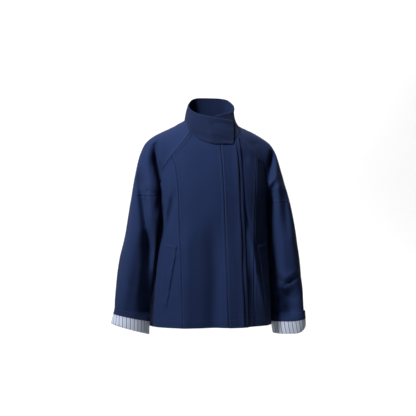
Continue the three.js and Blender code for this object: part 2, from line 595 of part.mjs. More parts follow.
function collarGrid(heights) {
  const feet = neckFeet();
  const start = feet[0];
  let bearing = THREE.MathUtils.radToDeg(Math.atan2(start.x - neckMiddle.x, neckMiddle.y - start.y));
  let before = bearing;
  let lastKept = null;
  const columns = [];
  feet.forEach((foot, n) => {
    const plain = THREE.MathUtils.radToDeg(Math.atan2(foot.x - neckMiddle.x, neckMiddle.y - foot.y));
    before = bearing;
    bearing = plain + 360 * Math.round((before - plain) / 360);
    const nearSeam = lastKept && lastKept.distanceTo(foot) < 3 && n < feet.length - 1;
    if (nearSeam || (lastKept && bearing <= before)) return;
    lastKept = foot;
    const way = new THREE.Vector3(foot.x - neckMiddle.x, foot.y - neckMiddle.y, 0).normalize();
    const over = bearing > 250;
    const free = over ? ramp(foot.x, collarTab.start, collarTab.clear) : 0;
    const drop = over ? ramp(foot.x, collarTab.clear, collarTab.dropped) : 0;
    const base = foot.clone().addScaledVector(way, mix(collarTab.sewn, collarTab.free, free));
    base.z += mix(collarRise, -collarTab.drop, drop);
    const top = new THREE.Vector3(collarEdge.x(bearing), collarEdge.y(bearing), collarEdge.z(bearing));
    columns.push(heights.map((t) => {
      const point = base.clone().lerp(top, t);
      const bulge = over ? collarBulge.over : collarBulge.under * ramp(150 - bearing, 0, 70);
      return { point: point.addScaledVector(way, bulge * Math.sin(Math.PI * t)), way };
    }));
  });
  return columns;
}

// Strip of the overlap between two lines, laid over the body
function placketStrip(fromX, toX, { top, across, outer }) {
  const heights = [hem - 2, ...lowRows.slice(1), ...frontSeamRows.filter((z) => z < -50)];
  return evenly(across).map((u) => {
    const end = typeof top === 'function' ? top(mix(fromX(-45), toX(-45), u)) : top;
    return [...heights, end].map((z) => {
      const x = mix(fromX(z) + seam, toX(z), u);
      return bodyPoint(frontBearing(x, z), z, outer);
    });
  });
}

// Welt of a pocket, laid on the side front, with its free edge towards the side seam
function weltGrid(side) {
  return evenly(3).map((u) =>
    evenly(7).map((v) => {
      const x = mix(mix(welt.bottomInner[0], welt.topInner[0], v), mix(welt.bottomOuter[0], welt.topOuter[0], v), u);
      const z = mix(mix(welt.bottomInner[1], welt.topInner[1], v), mix(welt.bottomOuter[1], welt.topOuter[1], v), u);
      return bodyPoint(side * bearingAt(x, z, 'front'), z, layer + 0.8 * u * Math.sin(Math.PI * v));
    }),
  );
}

// Section of a cuff at one place round the wrist
function cuffSection(side, face, t, section) {
  const cut = sleevePoint(side, wristRow, face, t);
  const downwards = cut.sub(sleevePoint(side, wristRow - 0.5, face, t)).normalize();
  const corner = cornerLift[side] * (1 - ramp(t, 0, cornerSpread));
  return section.map(([out, plainUp]) => {
    const up = plainUp + corner * Math.max(1 - plainUp / cuffTurnUp, 0);
    const k = wristRow - Math.max(up, 0) / wristRowHeight;
    const { point, way } = sleeveVertex(side, k, face, t);
    const reach = out > 0 ? out * mix(1, cuffInner, ramp(t, 0.4, 1)) : out;
    return point.addScaledVector(way, reach).addScaledVector(downwards, Math.max(-up, 0));
  });
}

function cuffRing(name, side, section, colour) {
  const front = evenly(10).slice(0, -1).map((t) => cuffSection(side, 'front', t, section));
  const back = evenly(8).slice(0, -1).map((t) => cuffSection(side, 'back', 1 - t, section));
  return clothRing(name, [...front, ...back], colour);
}

const underlay = { top: (x) => neckZ(x) - 3, across: 5, outer: layer };
const cover = { top: -45.5, across: 6, outer: 2 * layer };

const jacket = new THREE.Group();
jacket.name = 'funnel_neck_jacket';

jacket.add(
  clothWall('front_centre_right', frontCentre(right, placketX, 11), navy),
  clothWall('front_centre_left', frontCentre(left, hiddenX, 8), navy),
  clothWall('back', backPiece(20), navy),
  clothWall('placket_underlay', placketStrip(placketX, underlayX, underlay), navy),
  clothWall('placket_cover', placketStrip(placketX, coverX, cover), navy),
);

for (const [side, name] of [[right, 'right'], [left, 'left']]) {
  const split = elbowSeamRow[side];
  const gap = 0.014; // share of a row that each piece keeps back from the cross seam
  const wristEnd = wristRow - sleeveEnd[side] / wristRowHeight;
  const upperRows = [...evenly(split).map((share) => split * share).slice(0, -1), split - gap];
  const lowerRows = evenly(wristRow - split).map((share) => mix(split + gap, wristEnd, share));
  jacket.add(
    clothWall(`front_side_${name}`, frontSide(side, 6), navy),
    clothWall(`pocket_welt_${name}`, weltGrid(side), navy),
    clothWall(`sleeve_upper_front_${name}`, sleeveHalf(side, 'front', upperRows, 9), navy),
    clothWall(`sleeve_upper_back_${name}`, sleeveHalf(side, 'back', upperRows, 8), navy),
    clothWall(`sleeve_lower_front_${name}`, sleeveHalf(side, 'front', lowerRows, 10), navy),
    clothWall(`sleeve_lower_back_${name}`, sleeveHalf(side, 'back', lowerRows, 8), navy),
    cuffRing(`cuff_lining_${name}`, side, cuffLiningSection[side], striped),
    cuffRing(`cuff_facing_${name}`, side, cuffFacingSection[side], navy),
  );
}

const collarHeights = evenly(4);
const collarCloth = 1.3;
jacket.add(
  clothWall('collar', collarGrid(collarHeights), navy, { outer: 0, inner: -collarCloth }),
  clothWall('collar_facing', collarGrid(collarHeights), navy, {
    outer: -collarCloth - 0.3, inner: -2 * collarCloth - 0.3,
  }),
);

export default jacket;
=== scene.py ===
import math

import bmesh
import bpy
import numpy as np
from mathutils import Matrix, Vector


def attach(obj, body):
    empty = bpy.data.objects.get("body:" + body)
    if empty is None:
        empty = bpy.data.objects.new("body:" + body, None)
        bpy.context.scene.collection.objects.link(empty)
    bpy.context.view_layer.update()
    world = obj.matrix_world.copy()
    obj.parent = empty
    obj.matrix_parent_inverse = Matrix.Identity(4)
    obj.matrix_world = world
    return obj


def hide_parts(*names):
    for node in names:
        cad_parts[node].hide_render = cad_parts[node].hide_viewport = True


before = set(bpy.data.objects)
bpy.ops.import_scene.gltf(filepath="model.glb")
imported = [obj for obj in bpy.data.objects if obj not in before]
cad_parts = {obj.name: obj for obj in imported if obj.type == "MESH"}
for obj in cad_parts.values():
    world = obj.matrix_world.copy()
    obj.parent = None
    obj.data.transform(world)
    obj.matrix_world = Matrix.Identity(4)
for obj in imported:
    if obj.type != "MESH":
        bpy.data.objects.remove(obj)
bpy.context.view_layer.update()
mm = 0.001


# smooth curve through the rows of a table, from its first column to another
def tableCurve(rows, column):
    at, value = rows[:, 0], rows[:, column]
    slope = np.empty(len(at))
    slope[1:-1] = (value[2:] - value[:-2]) / (at[2:] - at[:-2])
    slope[0] = (value[1] - value[0]) / (at[1] - at[0])
    slope[-1] = (value[-1] - value[-2]) / (at[-1] - at[-2])

    def curve(place):
        place = np.clip(place, at[0], at[-1])
        n = np.clip(np.searchsorted(at, place, side="right") - 1, 0, len(at) - 2)
        span = at[n + 1] - at[n]
        t = (place - at[n]) / span
        rise = t * t * (3 - 2 * t)
        ends = value[n] * (1 - rise) + value[n + 1] * rise
        return ends + slope[n] * span * t * (1 - t) ** 2 - slope[n + 1] * span * t * t * (1 - t)

    return curve


def seamCurve(*rows):
    return tableCurve(np.array(rows, float), 1)


# form of the jacket, in millimetres
jacket = {
    "cloth": 1.4,
    "layer": 2.4,
    "seam": 0.02,
    "hem": -641.0,
    "squareness": 2.4,
    "viewTurn": math.radians(13),
    "meshStep": 5.0,
    "bodyWaves": 0.5,
    "sleeveWaves": 0.6,
}

# height, sideways lean, half width, depth to the front, depth to the back
bodySections = np.array([
    (-650, 8, 206, 146, 130), (-520, 8, 200, 142, 123), (-400, 8, 194, 136, 115),
    (-300, 8, 190, 131, 110), (-230, 9, 188, 128, 107), (-195, 10, 188, 126, 106),
    (-150, 10, 186, 120, 106), (-123, 10, 183, 115, 105), (-100, 9, 179, 110, 103),
    (-60, 8, 170, 98, 98), (-17, 8, 155, 78, 88), (10, 8, 138, 66, 76), (42, 8, 118, 50, 60),
], float)

# seams and edges by height and distance from the middle, and the neckline by distance and height
princessX = seamCurve((-650, 118), (-400, 122), (-236, 127), (-150, 132), (-110, 136.5), (-85, 142))
frontRaglanX = seamCurve(
    (-195, 188), (-190, 185), (-180, 180.5), (-164, 176), (-146, 174), (-127, 169.5), (-107, 158),
    (-85, 142), (-50, 113), (-15, 84), (-6, 79),
)
backRaglanX = seamCurve(
    (-195, 188), (-169, 184), (-140, 177), (-110, 165.5), (-80, 150), (-50, 132), (-24, 114), (0, 95),
    (20, 78), (41, 60),
)
placketX = seamCurve((-650, 37), (-45, 21))
coverX = seamCurve((-650, 87), (-45, 71))
underlayX = seamCurve((-650, 104), (-30, 86))
hiddenX = seamCurve((-650, 32), (-45, 16))
neckZ = seamCurve(
    (-71, -6), (-60, -17), (-48, -29), (-38, -36), (-26, -41), (-3, -45.5), (21, -45.5), (50, -42),
    (72, -32), (92, -15),
)

# raglan part of the sleeve: heights on the two seams, place of the overarm line, and how far each end of
# a row keeps its direction
shoulderColumns = ("row", "frontRight", "frontLeft", "backRight", "backLeft", "xRight", "zRight", "xLeft",
                   "zLeft", "y", "top", "seamEnd", "backTop", "backSeam", "wrap", "hug")
shoulderRows = np.array([
    (0, -6, -15, 41, 36, 74, 31, 96, 21, 6, 28, 24, 18, 18, 0, 0),
    (1, -36, -36, 20, 20, 114, 9, 115, 9, 6, 40, 30, 28, 24, 0, 0),
    (2, -60, -60, 0, 0, 151, -8, 153, -8, 6, 46, 34, 36, 30, 0, 0),
    (3, -85, -85, -24, -24, 182, -24, 185, -26, 5, 50, 36, 42, 34, 0, 0),
    (4, -107, -107, -50, -50, 206, -45, 212, -46, 3, 54, 40, 50, 40, 0.12, 0.1),
    (5, -127, -127, -80, -80, 220, -71, 229, -72, 0, 60, 46, 58, 46, 0.3, 0.22),
    (6, -146, -146, -110, -110, 230, -100, 240, -101, -2, 68, 48, 68, 56, 0.5, 0.34),
    (7, -164, -164, -140, -140, 238, -133, 248.5, -133, -4, 76, 54, 80, 70, 0.72, 0.4),
    (8, -180, -180, -169, -169, 245, -167, 257.5, -167, -5, 84, 70, 90, 84, 0.9, 0.3),
    (9, -195, -195, -195, -195, 251, -200, 265.5, -200, -7, 102, 102, 98, 98, 1, 0.08),
], float)

# arm below the underarm point: heights, outer and inner edges, depths, how far forward the inner seams lie,
# how far the arms hug the body and how much lower their inner edges lie
armColumns = ("row", "zRight", "zLeft", "xRight", "xLeft", "innerRight", "innerLeft", "y", "front", "back",
              "footRight", "footLeft", "hugRight", "hugLeft", "dropRight", "dropLeft")
armRows = np.array([
    (9, -200, -200, 251, 265.5, 188, 188, -7, 77, 74, 0, 0, 0.08, 0.08, -5, -5),
    (10, -214, -214, 253, 269, 190.5, 190.5, -8, 77, 74, -9, -3, 0.32, 0.1, 0, 0),
    (11, -236, -236, 257, 274.5, 191.5, 191.5, -9, 77, 73, -19, -6, 0.44, 0.1, 0, 0),
    (12, -270, -270, 263, 282.5, 192, 192.5, -11, 76, 72, -29, -8, 0.42, 0.1, 0, 0),
    (13, -305, -305, 269.5, 289.5, 192.5, 194, -13, 75, 71, -35, -9, 0.36, 0.1, 0, 0),
    (14, -340, -340, 276.5, 295, 194, 195.5, -16, 74, 70, -38, -10, 0.28, 0.1, 0, 0),
    (15, -375, -375, 284.5, 300, 196, 197, -18, 72, 68, -40, -10, 0.25, 0.1, 0, 0),
    (16, -410, -410, 293.5, 305, 197.5, 198.5, -21, 70, 66, -41, -10, 0.22, 0.1, 0, 0),
    (17, -445, -447, 300.5, 308.5, 200, 200.5, -24, 68, 64, -42, -11, 0.2, 0.08, 0, 0),
    (18, -480, -484, 306.5, 311.5, 202, 202.5, -26, 65, 61, -42, -12, 0.18, 0.06, 2, 1),
    (19, -515, -523, 310.5, 317, 204.5, 204.5, -28, 61, 57, -41, -13, 0.14, 0.04, 4, 2),
    (20, -550, -562, 313.5, 320, 207, 206, -29, 56, 53, -39, -14, 0.1, 0.02, 9, 5),
    (21, -580, -600, 314.5, 322, 210, 208.5, -30, 52, 49, -36, -16, 0.07, 0, 18, 7),
    (22, -606, -633, 317, 324, 213, 210.5, -31, 48, 46, -33, -20, 0.04, 0, 27, 9),
    (23, -631, -661, 322, 326, 214, 212.5, -31, 46, 44, -31, -25, 0.02, 0, 35, 12),
], float)
underarmRow = 9
forearmRow = 18
wristRow = 23
wristRowHeight = 25.0
topTilt = -0.05
dropSpread = {"right": 1.0, "left": 0.45}
elbowSeamRow = {"right": 10.0, "left": 11.0}
sideSign = {"right": -1.0, "left": 1.0}

# bearing of the foot, then x, y, z of the collar's top edge
collarTop = np.array([
    (6, 12, -58, 46), (30, 38, -52, 52), (52, 65, -38, 58), (72, 83, -22, 64.5), (92, 91, -5, 76),
    (112, 88, 14, 88), (134, 74, 32, 101), (156, 48, 44, 106), (180, 12, 50, 107), (204, -24, 46, 106.5),
    (224, -46, 34, 100.5), (243, -59, 18, 89), (262, -65.5, 0, 81), (280, -67, -16, 74),
    (300, -61.5, -34, 64), (320, -47, -50, 54.5), (338, -26, -60, 48), (354, -2, -65, 43),
    (368, 22, -67, 39.5), (382, 50, -63, 35), (395, 77, -52, 29), (405, 90, -44, 26),
], float)

# folds by the piece and face they lie on: x and z of three points as the viewer sees the front (or as the
# plain back view shows them), half width, and depth below zero or height above it
folds = {
    ("right", "front"): [
        (-169, -42, -168, -108, -142, -194, 9.5, -25), (-192, -46, -196, -112, -178, -188, 9, 6),
        (-163, -76, -161, -120, -149, -166, 5, 3.5), (-220, -140, -213, -205, -199, -300, 13, -37),
        (-206, -236, -195, -330, -190, -440, 14, -26), (-166, -96, -157, -150, -146, -192, 8.5, -18),
        (-212, -120, -208, -170, -202, -220, 8, 3), (-246, -110, -244, -220, -240, -330, 10, 9),
        (-188, -205, -186, -280, -186, -350, 8, 6), (-153, -198, -152, -228, -161, -268, 9, -13),
        (-188, -270, -190, -450, -196, -668, 26, -38), (-246, -290, -256, -420, -270, -640, 16, 9),
        (-222, -380, -232, -470, -242, -560, 7, -3), (-287, -470, -259, -500, -229, -514, 8, -3),
        (-257, -560, -253, -590, -241, -618, 9, -3),
    ],
    ("left", "front"): [
        (220, -56, 212, -112, 200, -186, 11, -20), (223, -156, 212, -171, 200, -188, 4, 5),
        (228, -168, 214, -206, 216, -345, 10.5, -20), (226, -105, 228, -200, 238, -345, 10, 6),
        (238, -345, 246, -400, 254, -462, 13, 5), (245, -108, 254, -215, 266, -345, 11, -12),
        (270, -240, 280, -330, 290, -430, 14, 4), (222, -320, 224, -430, 234, -560, 16, -17),
        (234, -480, 257, -510, 298, -482, 8, -13), (234, -464, 258, -488, 298, -462, 8, 5),
        (254, -500, 272, -575, 286, -664, 31, -40), (276, -540, 290, -580, 298, -628, 11, 4),
        (262, -545, 284, -560, 302, -550, 7, -4), (140, -38, 156, -48, 176, -44, 7, -3),
    ],
    ("body", "front"): [
        (-125, -200, -130, -248, -143, -318, 5, 8), (-134, -203, -141, -258, -151, -322, 5, -8),
        (-107, -204, -116, -258, -131, -332, 9, -11), (-104, -330, -98, -470, -100, -600, 14, 4),
        (13, -270, 28, -450, 22, -641, 31, -17), (-66, -270, -68, -450, -72, -641, 24, 8),
        (44, -430, 52, -540, 56, -641, 15, 3), (134, -290, 160, -456, 201, -641, 9, 9),
        (166, -300, 194, -456, 222, -641, 13, -11), (118, -230, 128, -290, 141, -335, 6, -5),
        (164, -215, 176, -290, 188, -360, 13, -7), (138, -440, 148, -540, 158, -641, 13, -5),
        (113, -68, 125, -90, 127, -116, 9, -4), (-96, -396, -106, -425, -115, -455, 4, 3),
        (-104, -412, -114, -440, -120, -462, 4, -3), (-98, -446, -108, -452, -120, -457, 4, 2.5),
        (-116, -512, -126, -528, -138, -538, 5, -3), (-150, -580, -138, -600, -132, -620, 7, -3),
        (-115, -560, -105, -585, -91, -604, 8, -2.5),
    ],
    ("collar", "front"): [
        (14, 18, 50, 15, 84, 10, 8, -4.5), (-44, -8, -18, -24, 16, -33, 5, -2.5),
        (-30, 2, 4, -12, 44, -14, 6, 2), (40, -24, 56, -34, 76, -38, 5, -2.5),
    ],
    ("right", "back"): [
        (-205, -70, -200, -140, -190, -200, 13, -10), (-250, -330, -228, -380, -215, -440, 13, -9),
        (-246, -300, -226, -345, -212, -395, 6, -4), (-282, -520, -262, -536, -240, -534, 8, -4),
    ],
    ("left", "back"): [
        (198, -80, 196, -140, 192, -210, 13, -10), (262, -370, 240, -410, 222, -470, 13, -9),
        (258, -340, 238, -380, 222, -430, 6, -4), (264, -470, 246, -486, 224, -490, 8, -4),
    ],
    ("body", "back"): [
        (-70, -330, -82, -480, -95, -641, 28, 9), (5, -300, 8, -470, 12, -641, 30, -9),
        (85, -320, 96, -480, 105, -641, 28, 9), (-140, -190, -118, -230, -90, -265, 12, -6),
        (142, -195, 122, -240, 96, -280, 12, -6), (-150, -195, -126, -236, -100, -262, 6, -3),
        (150, -200, 130, -244, 104, -272, 6, -3), (-40, -350, -48, -500, -52, -641, 14, -4),
        (44, -360, 52, -500, 56, -641, 14, -4),
    ],
}
foldEase = {
    "facing": (-0.1, 0.35), "opening": 0.35, "ends": (0.08, 0.92),
    "wristRows": (2.4, 1.2), "wristCalm": 0.85,
}
outOfBody = {"front": np.array([0, -1, 0.0]), "back": np.array([0, 1, 0.0])}

leanAt, halfAt, frontAt, backAt = (tableCurve(bodySections, c) for c in (1, 2, 3, 4))
shoulder = {name: tableCurve(shoulderRows, n) for n, name in enumerate(shoulderColumns) if n}
arm = {name: tableCurve(armRows, n) for n, name in enumerate(armColumns) if n}
collarEdge = [tableCurve(collarTop, n) for n in (1, 2, 3)]


def mix(a, b, t):
    return a + (b - a) * t


def ramp(value, low, high):
    t = np.clip((value - low) / (high - low), 0, 1)
    return t * t * (3 - 2 * t)


def unit(vectors):
    return vectors / np.maximum(np.linalg.norm(vectors, axis=-1, keepdims=True), 1e-9)


def xyz(x, y, z):
    return np.stack(np.broadcast_arrays(x, y, z), axis=-1).astype(float)


# distance from a line of three points, and how far along it the nearest place is
def alongFold(line, x, z):
    nearest = np.full(np.shape(x), np.inf)
    share = np.zeros(np.shape(x))
    for n in range(2):
        ax, az, bx, bz = line[2 * n:2 * n + 4]
        length = math.hypot(bx - ax, bz - az)
        t = np.clip(((x - ax) * (bx - ax) + (z - az) * (bz - az)) / length**2, 0, 1)
        distance = np.hypot(x - mix(ax, bx, t), z - mix(az, bz, t))
        closer = distance < nearest
        nearest = np.where(closer, distance, nearest)
        share = np.where(closer, (n + t) / 2, share)
    return nearest, share


# how the folds move a point of the body, a sleeve or the collar: straight towards or away from the viewer
def foldShift(point, way, on):
    shift = np.zeros(point.shape)
    for (where, face), rows in folds.items():
        if where != on:
            continue
        turn = jacket["viewTurn"] if face == "front" else 0
        across = point[..., 0] * math.cos(turn) - point[..., 1] * math.sin(turn)
        towards = np.array([-math.sin(turn), -math.cos(turn), 0]) if face == "front" else outOfBody["back"]
        facing = ramp((way * towards).sum(-1), *foldEase["facing"])
        for *line, half, depth in rows:
            distance, share = alongFold(line, across, point[..., 2])
            if line[-1] <= jacket["hem"]:
                opening = ramp(share, 0, foldEase["opening"])
            else:
                opening = np.sin(math.pi * mix(*foldEase["ends"], share))
            shift += (depth * facing * opening * np.exp(-((distance / half) ** 2)))[..., None] * towards
    return shift


# slow unevenness of hanging cloth
def unevenness(point, amount):
    x, y, z = point[..., 0], point[..., 1], point[..., 2]
    waves = np.sin(x / 31 + z / 83 + 1.3) * np.sin(z / 47 - y / 39 + 0.4)
    waves += 0.6 * np.sin(x / 17 - z / 61 + 2.2) * np.sin(y / 23 + z / 29 + 1.1)
    return amount * waves


def bodyPoint(bearing, z, out=0.0):
    bearing, z = np.broadcast_arrays(np.asarray(bearing, float), np.asarray(z, float))
    depth = np.where(np.cos(bearing) > 0, frontAt(z), backAt(z))
    power = jacket["squareness"]
    sideways = np.abs(np.sin(bearing)) / halfAt(z)
    forwards = np.abs(np.cos(bearing)) / depth
    reach = (sideways**power + forwards**power) ** (-1 / power)
    way = xyz(np.sin(bearing), -np.cos(bearing), 0 * z)
    point = way * reach[..., None]
    point[..., 0] += leanAt(z)
    point[..., 2] = z
    shift = unevenness(point, jacket["bodyWaves"]) + out
    return point + foldShift(point, way, "body") + way * shift[..., None]


def bearingAt(x, z, face):
    power = jacket["squareness"]
    share = np.minimum(np.abs(x) / halfAt(z), 1) ** power
    depth = frontAt(z) if face == "front" else -backAt(z)
    return np.arctan2(x, depth * (1 - share) ** (1 / power))


def frontBearing(x, z):
    return bearingAt(x - leanAt(z), z, "front")


def sleevePoint(side, k, face, t, folded=True):
    k, t = np.broadcast_arrays(np.asarray(k, float), np.asarray(t, float))
    none = 0 * k
    sign = sideSign[side]
    isFront = face == "front"
    forward = none + (-1.0 if isFront else 1.0)
    name = side.capitalize()
    # raglan part
    z = shoulder[face + name](k)
    seamX = frontRaglanX(z) if isFront else backRaglanX(z)
    bearing = bearingAt(sign * seamX, z, face)
    seamPoint = bodyPoint(bearing, z)
    seamWay = xyz(np.sin(bearing), -np.cos(bearing), none)
    top = xyz(sign * shoulder["x" + name](k), shoulder["y"](k), shoulder["z" + name](k))
    wrap = shoulder["wrap"](k)[..., None]
    toTop = top - seamPoint
    along = unit(toTop - seamWay * (toTop * seamWay).sum(-1, keepdims=True))
    roundWay = xyz(-sign * shoulder["hug"](k) * isFront, forward, none)
    seamReach = shoulder["seamEnd" if isFront else "backSeam"](k)[..., None]
    seamHandle = (along * (1 - wrap) + roundWay * wrap) * seamReach
    topHandle = xyz(none, forward, none + topTilt) * shoulder["top" if isFront else "backTop"](k)[..., None]
    foot = seamPoint + unit(toTop) * jacket["seam"]
    # arm below the underarm point
    armZ = arm["z" + name](k)
    low = armZ - arm["drop" + name](k)
    armTop = xyz(sign * arm["x" + name](k), arm["y"](k), armZ)
    armFoot = xyz(sign * arm["inner" + name](k) + leanAt(low), arm["foot" + name](k), low)
    reach = (4 / 3) * arm[face](k)[..., None]
    armFootHandle = xyz(-sign * arm["hug" + name](k) * isFront, forward, none) * reach
    armTopHandle = xyz(none, forward, mix(topTilt, 0, ramp(k, 9, 12))) * reach
    below = ramp(k, underarmRow - 0.35, underarmRow + 0.35)[..., None]
    top = mix(top, armTop, below)
    foot = mix(foot, armFoot, below)
    topHandle = mix(topHandle, armTopHandle, below)
    seamHandle = mix(seamHandle, armFootHandle, below)
    s = t[..., None]
    point = (1 - s) ** 3 * top + 3 * (1 - s) ** 2 * s * (top + topHandle)
    point += 3 * (1 - s) * s**2 * (foot + seamHandle) + s**3 * foot
    spread = mix(1, dropSpread[side], ramp(k, forearmRow, wristRow))
    point[..., 2] += (foot - top)[..., 2] * (ramp(t, 0, spread) - ramp(t, 0, 1))
    if not folded:
        return point
    way = point - (top + foot) / 2
    way[..., 2] = 0
    way = unit(way)
    calm = mix(ramp(1 - t, 0, 0.1), 1, ramp(k, underarmRow, underarmRow + 1.5))
    calmRows = [wristRow - rows for rows in foldEase["wristRows"]]
    calm *= 1 - foldEase["wristCalm"] * ramp(k, *calmRows)
    shift = unevenness(point, jacket["sleeveWaves"]) * ramp(1 - t, 0, 0.15)
    return point + calm[..., None] * foldShift(point, way, side) + way * shift[..., None]


# ways out of a grid of points, square to it and pointing along the hint
def waysOut(grid, hint):
    across = np.gradient(grid, axis=0)
    along = np.gradient(grid, axis=1)
    ways = unit(np.cross(across, along))
    sign = np.sign((ways * hint).sum(-1).mean()) or 1.0
    return ways * sign


# shares from 0 to 1 for a width, closer together near both ends
def shares(width, step=None, fine=(0.7, 1.6, 2.8, 4.4, 6.2, 7.4, 9.4)):
    step = step or jacket["meshStep"]
    ends = [f for f in fine if f < width * 0.45]
    inner = width - 2 * ends[-1]
    count = max(2, int(round(inner / step)))
    middle = [ends[-1] + inner * n / count for n in range(count + 1)]
    places = [0.0] + ends[:-1] + middle + [width - f for f in reversed(ends[:-1])] + [width]
    return np.array(places) / width


print("form ready")

# materials

def newMaterial(name):
    material = bpy.data.materials.new(name)
    material.use_nodes = True
    tree = material.node_tree
    tree.nodes.clear()
    output = tree.nodes.new("ShaderNodeOutputMaterial")
    shader = tree.nodes.new("ShaderNodeBsdfPrincipled")
    tree.links.new(shader.outputs["BSDF"], output.inputs["Surface"])
    return material, tree, shader


# gives each named socket of a node its value, or links it to the socket given
def fillSockets(tree, node, sockets):
    for name, value in sockets.items():
        if isinstance(value, bpy.types.NodeSocket):
            tree.links.new(value, node.inputs[name])
        else:
            node.inputs[name].default_value = value


def addNode(tree, kind, sockets):
    node = tree.nodes.new(f"ShaderNode{kind}")
    fillSockets(tree, node, sockets)
    return node


def mathNode(tree, operation, *values):
    node = addNode(tree, "Math", dict(enumerate(values)))
    node.operation = operation
    return node.outputs[0]


def plus(tree, first, second):
    return mathNode(tree, "ADD", first, second)


def times(tree, first, second):
    return mathNode(tree, "MULTIPLY", first, second)


def noise(tree, place, scale, detail):
    return addNode(tree, "TexNoise", {"Vector": place, "Scale": scale, "Detail": detail}).outputs["Fac"]


def parted(tree, place):
    return addNode(tree, "SeparateXYZ", {0: place}).outputs


def bumpNormal(tree, height, strength, distance):
    sockets = {"Height": height, "Strength": strength, "Distance": distance}
    return addNode(tree, "Bump", sockets).outputs["Normal"]


def clothMap(tree):
    node = tree.nodes.new("ShaderNodeUVMap")
    node.uv_map = "cloth"
    return node.outputs["UV"]


def objectPlace(tree):
    return tree.nodes.new("ShaderNodeTexCoord").outputs["Object"]


def mixColour(tree, factor, first, second):
    node = addNode(tree, "Mix", {"Factor": factor})
    node.data_type = "RGBA"
    for value, name in ((first, "A"), (second, "B")):
        socket = [s for s in node.inputs if s.name == name and s.type == "RGBA"][0]
        if isinstance(value, tuple):
            socket.default_value = (*value, 1)
        else:
            tree.links.new(value, socket)
    return [s for s in node.outputs if s.type == "RGBA"][0]


# an empty node group. An input without a value is a vector, the other inputs and the outputs are numbers
def newGroup(name, inputs, outputs):
    tree = bpy.data.node_groups.new(name, "ShaderNodeTree")
    for label, value in inputs.items():
        kind = "NodeSocketVector" if value is None else "NodeSocketFloat"
        socket = tree.interface.new_socket(name=label, in_out="INPUT", socket_type=kind)
        if value is not None:
            socket.default_value = value
    for label in outputs:
        tree.interface.new_socket(name=label, in_out="OUTPUT", socket_type="NodeSocketFloat")
    start = tree.nodes.new("NodeGroupInput")
    end = tree.nodes.new("NodeGroupOutput")
    return tree, start, end


def placeGroup(tree, group, sockets):
    node = tree.nodes.new("ShaderNodeGroup")
    node.node_tree = group
    fillSockets(tree, node, sockets)
    return node.outputs


weaveForm = {
    "slant": 0.62, "crossings": 1.7, "rib": 0.5, "crossing": 0.22, "slub": 0.5, "slubNoise": (900, 2),
}
dyeForm = {"mottle": (14, 5), "lint": (420, 3), "lintPower": 3.0}
puckerForm = {"uneven": (60, 1), "drift": 1.6, "least": 0.3}


# diagonal ribs of a twill with threads crossing them, from the cloth's own UV map in metres
def makeTwillWeave():
    tree, start, end = newGroup("twillWeave", {"Cloth": None, "Rib": 0.0011}, ("Height", "Thread"))
    parts = parted(tree, start.outputs["Cloth"])
    scaled = [mathNode(tree, "DIVIDE", parts[n], start.outputs["Rib"]) for n in (0, 1)]
    diagonal = plus(tree, scaled[0], times(tree, scaled[1], weaveForm["slant"]))
    ribs = mathNode(tree, "SINE", times(tree, diagonal, math.tau))
    crossing = mathNode(tree, "SINE", times(tree, scaled[1], math.tau * weaveForm["crossings"]))
    slub = noise(tree, start.outputs["Cloth"], *weaveForm["slubNoise"])
    height = plus(tree, times(tree, ribs, weaveForm["rib"]), times(tree, crossing, weaveForm["crossing"]))
    height = plus(tree, height, times(tree, slub, weaveForm["slub"]))
    thread = times(tree, plus(tree, ribs, 1.0), 0.5)
    fillSockets(tree, end, {"Height": height, "Thread": thread})
    return tree


# slow change of shade and small pale flecks of dyed cloth
def makeDyeVariation():
    tree, start, end = newGroup("dyeVariation", {"Place": None}, ("Mottle", "Lint"))
    mottle, lint = (noise(tree, start.outputs["Place"], *dyeForm[key]) for key in ("mottle", "lint"))
    fillSockets(tree, end, {"Mottle": mottle, "Lint": mathNode(tree, "POWER", lint, dyeForm["lintPower"])})
    return tree


# small puckers of a stitched seam, from the UV map in metres and the share of the seam at the place
def makeSeamPucker():
    tree, start, end = newGroup("seamPucker", {"Cloth": None, "Seam": 0.0, "Step": 0.0072}, ("Height",))
    uneven = noise(tree, start.outputs["Cloth"], *puckerForm["uneven"])
    parts = parted(tree, start.outputs["Cloth"])
    along = mathNode(tree, "DIVIDE", plus(tree, parts[0], parts[1]), start.outputs["Step"])
    along = plus(tree, along, times(tree, uneven, puckerForm["drift"]))
    wave = mathNode(tree, "SINE", times(tree, along, math.tau))
    wave = times(tree, wave, plus(tree, uneven, puckerForm["least"]))
    fillSockets(tree, end, {"Height": times(tree, wave, start.outputs["Seam"])})
    return tree


twillWeave = makeTwillWeave()
dyeVariation = makeDyeVariation()
seamPucker = makeSeamPucker()

navyLook = {
    "deep": (0.0046, 0.0108, 0.040),
    "mid": (0.0064, 0.0150, 0.053),
    "worn": (0.012, 0.026, 0.082),
    "threads": 0.22,
    "leastWear": 0.04,
    "roughness": 0.85,
    "mottledRoughness": 0.1,
    "sheen": 0.03,
    "sheenRoughness": 0.45,
    "sheenTint": (0.4, 0.5, 1.0, 1),
    "specular": 0.12,
    "relief": (0.6, 0.00016),
    "puckers": 10.0,
}


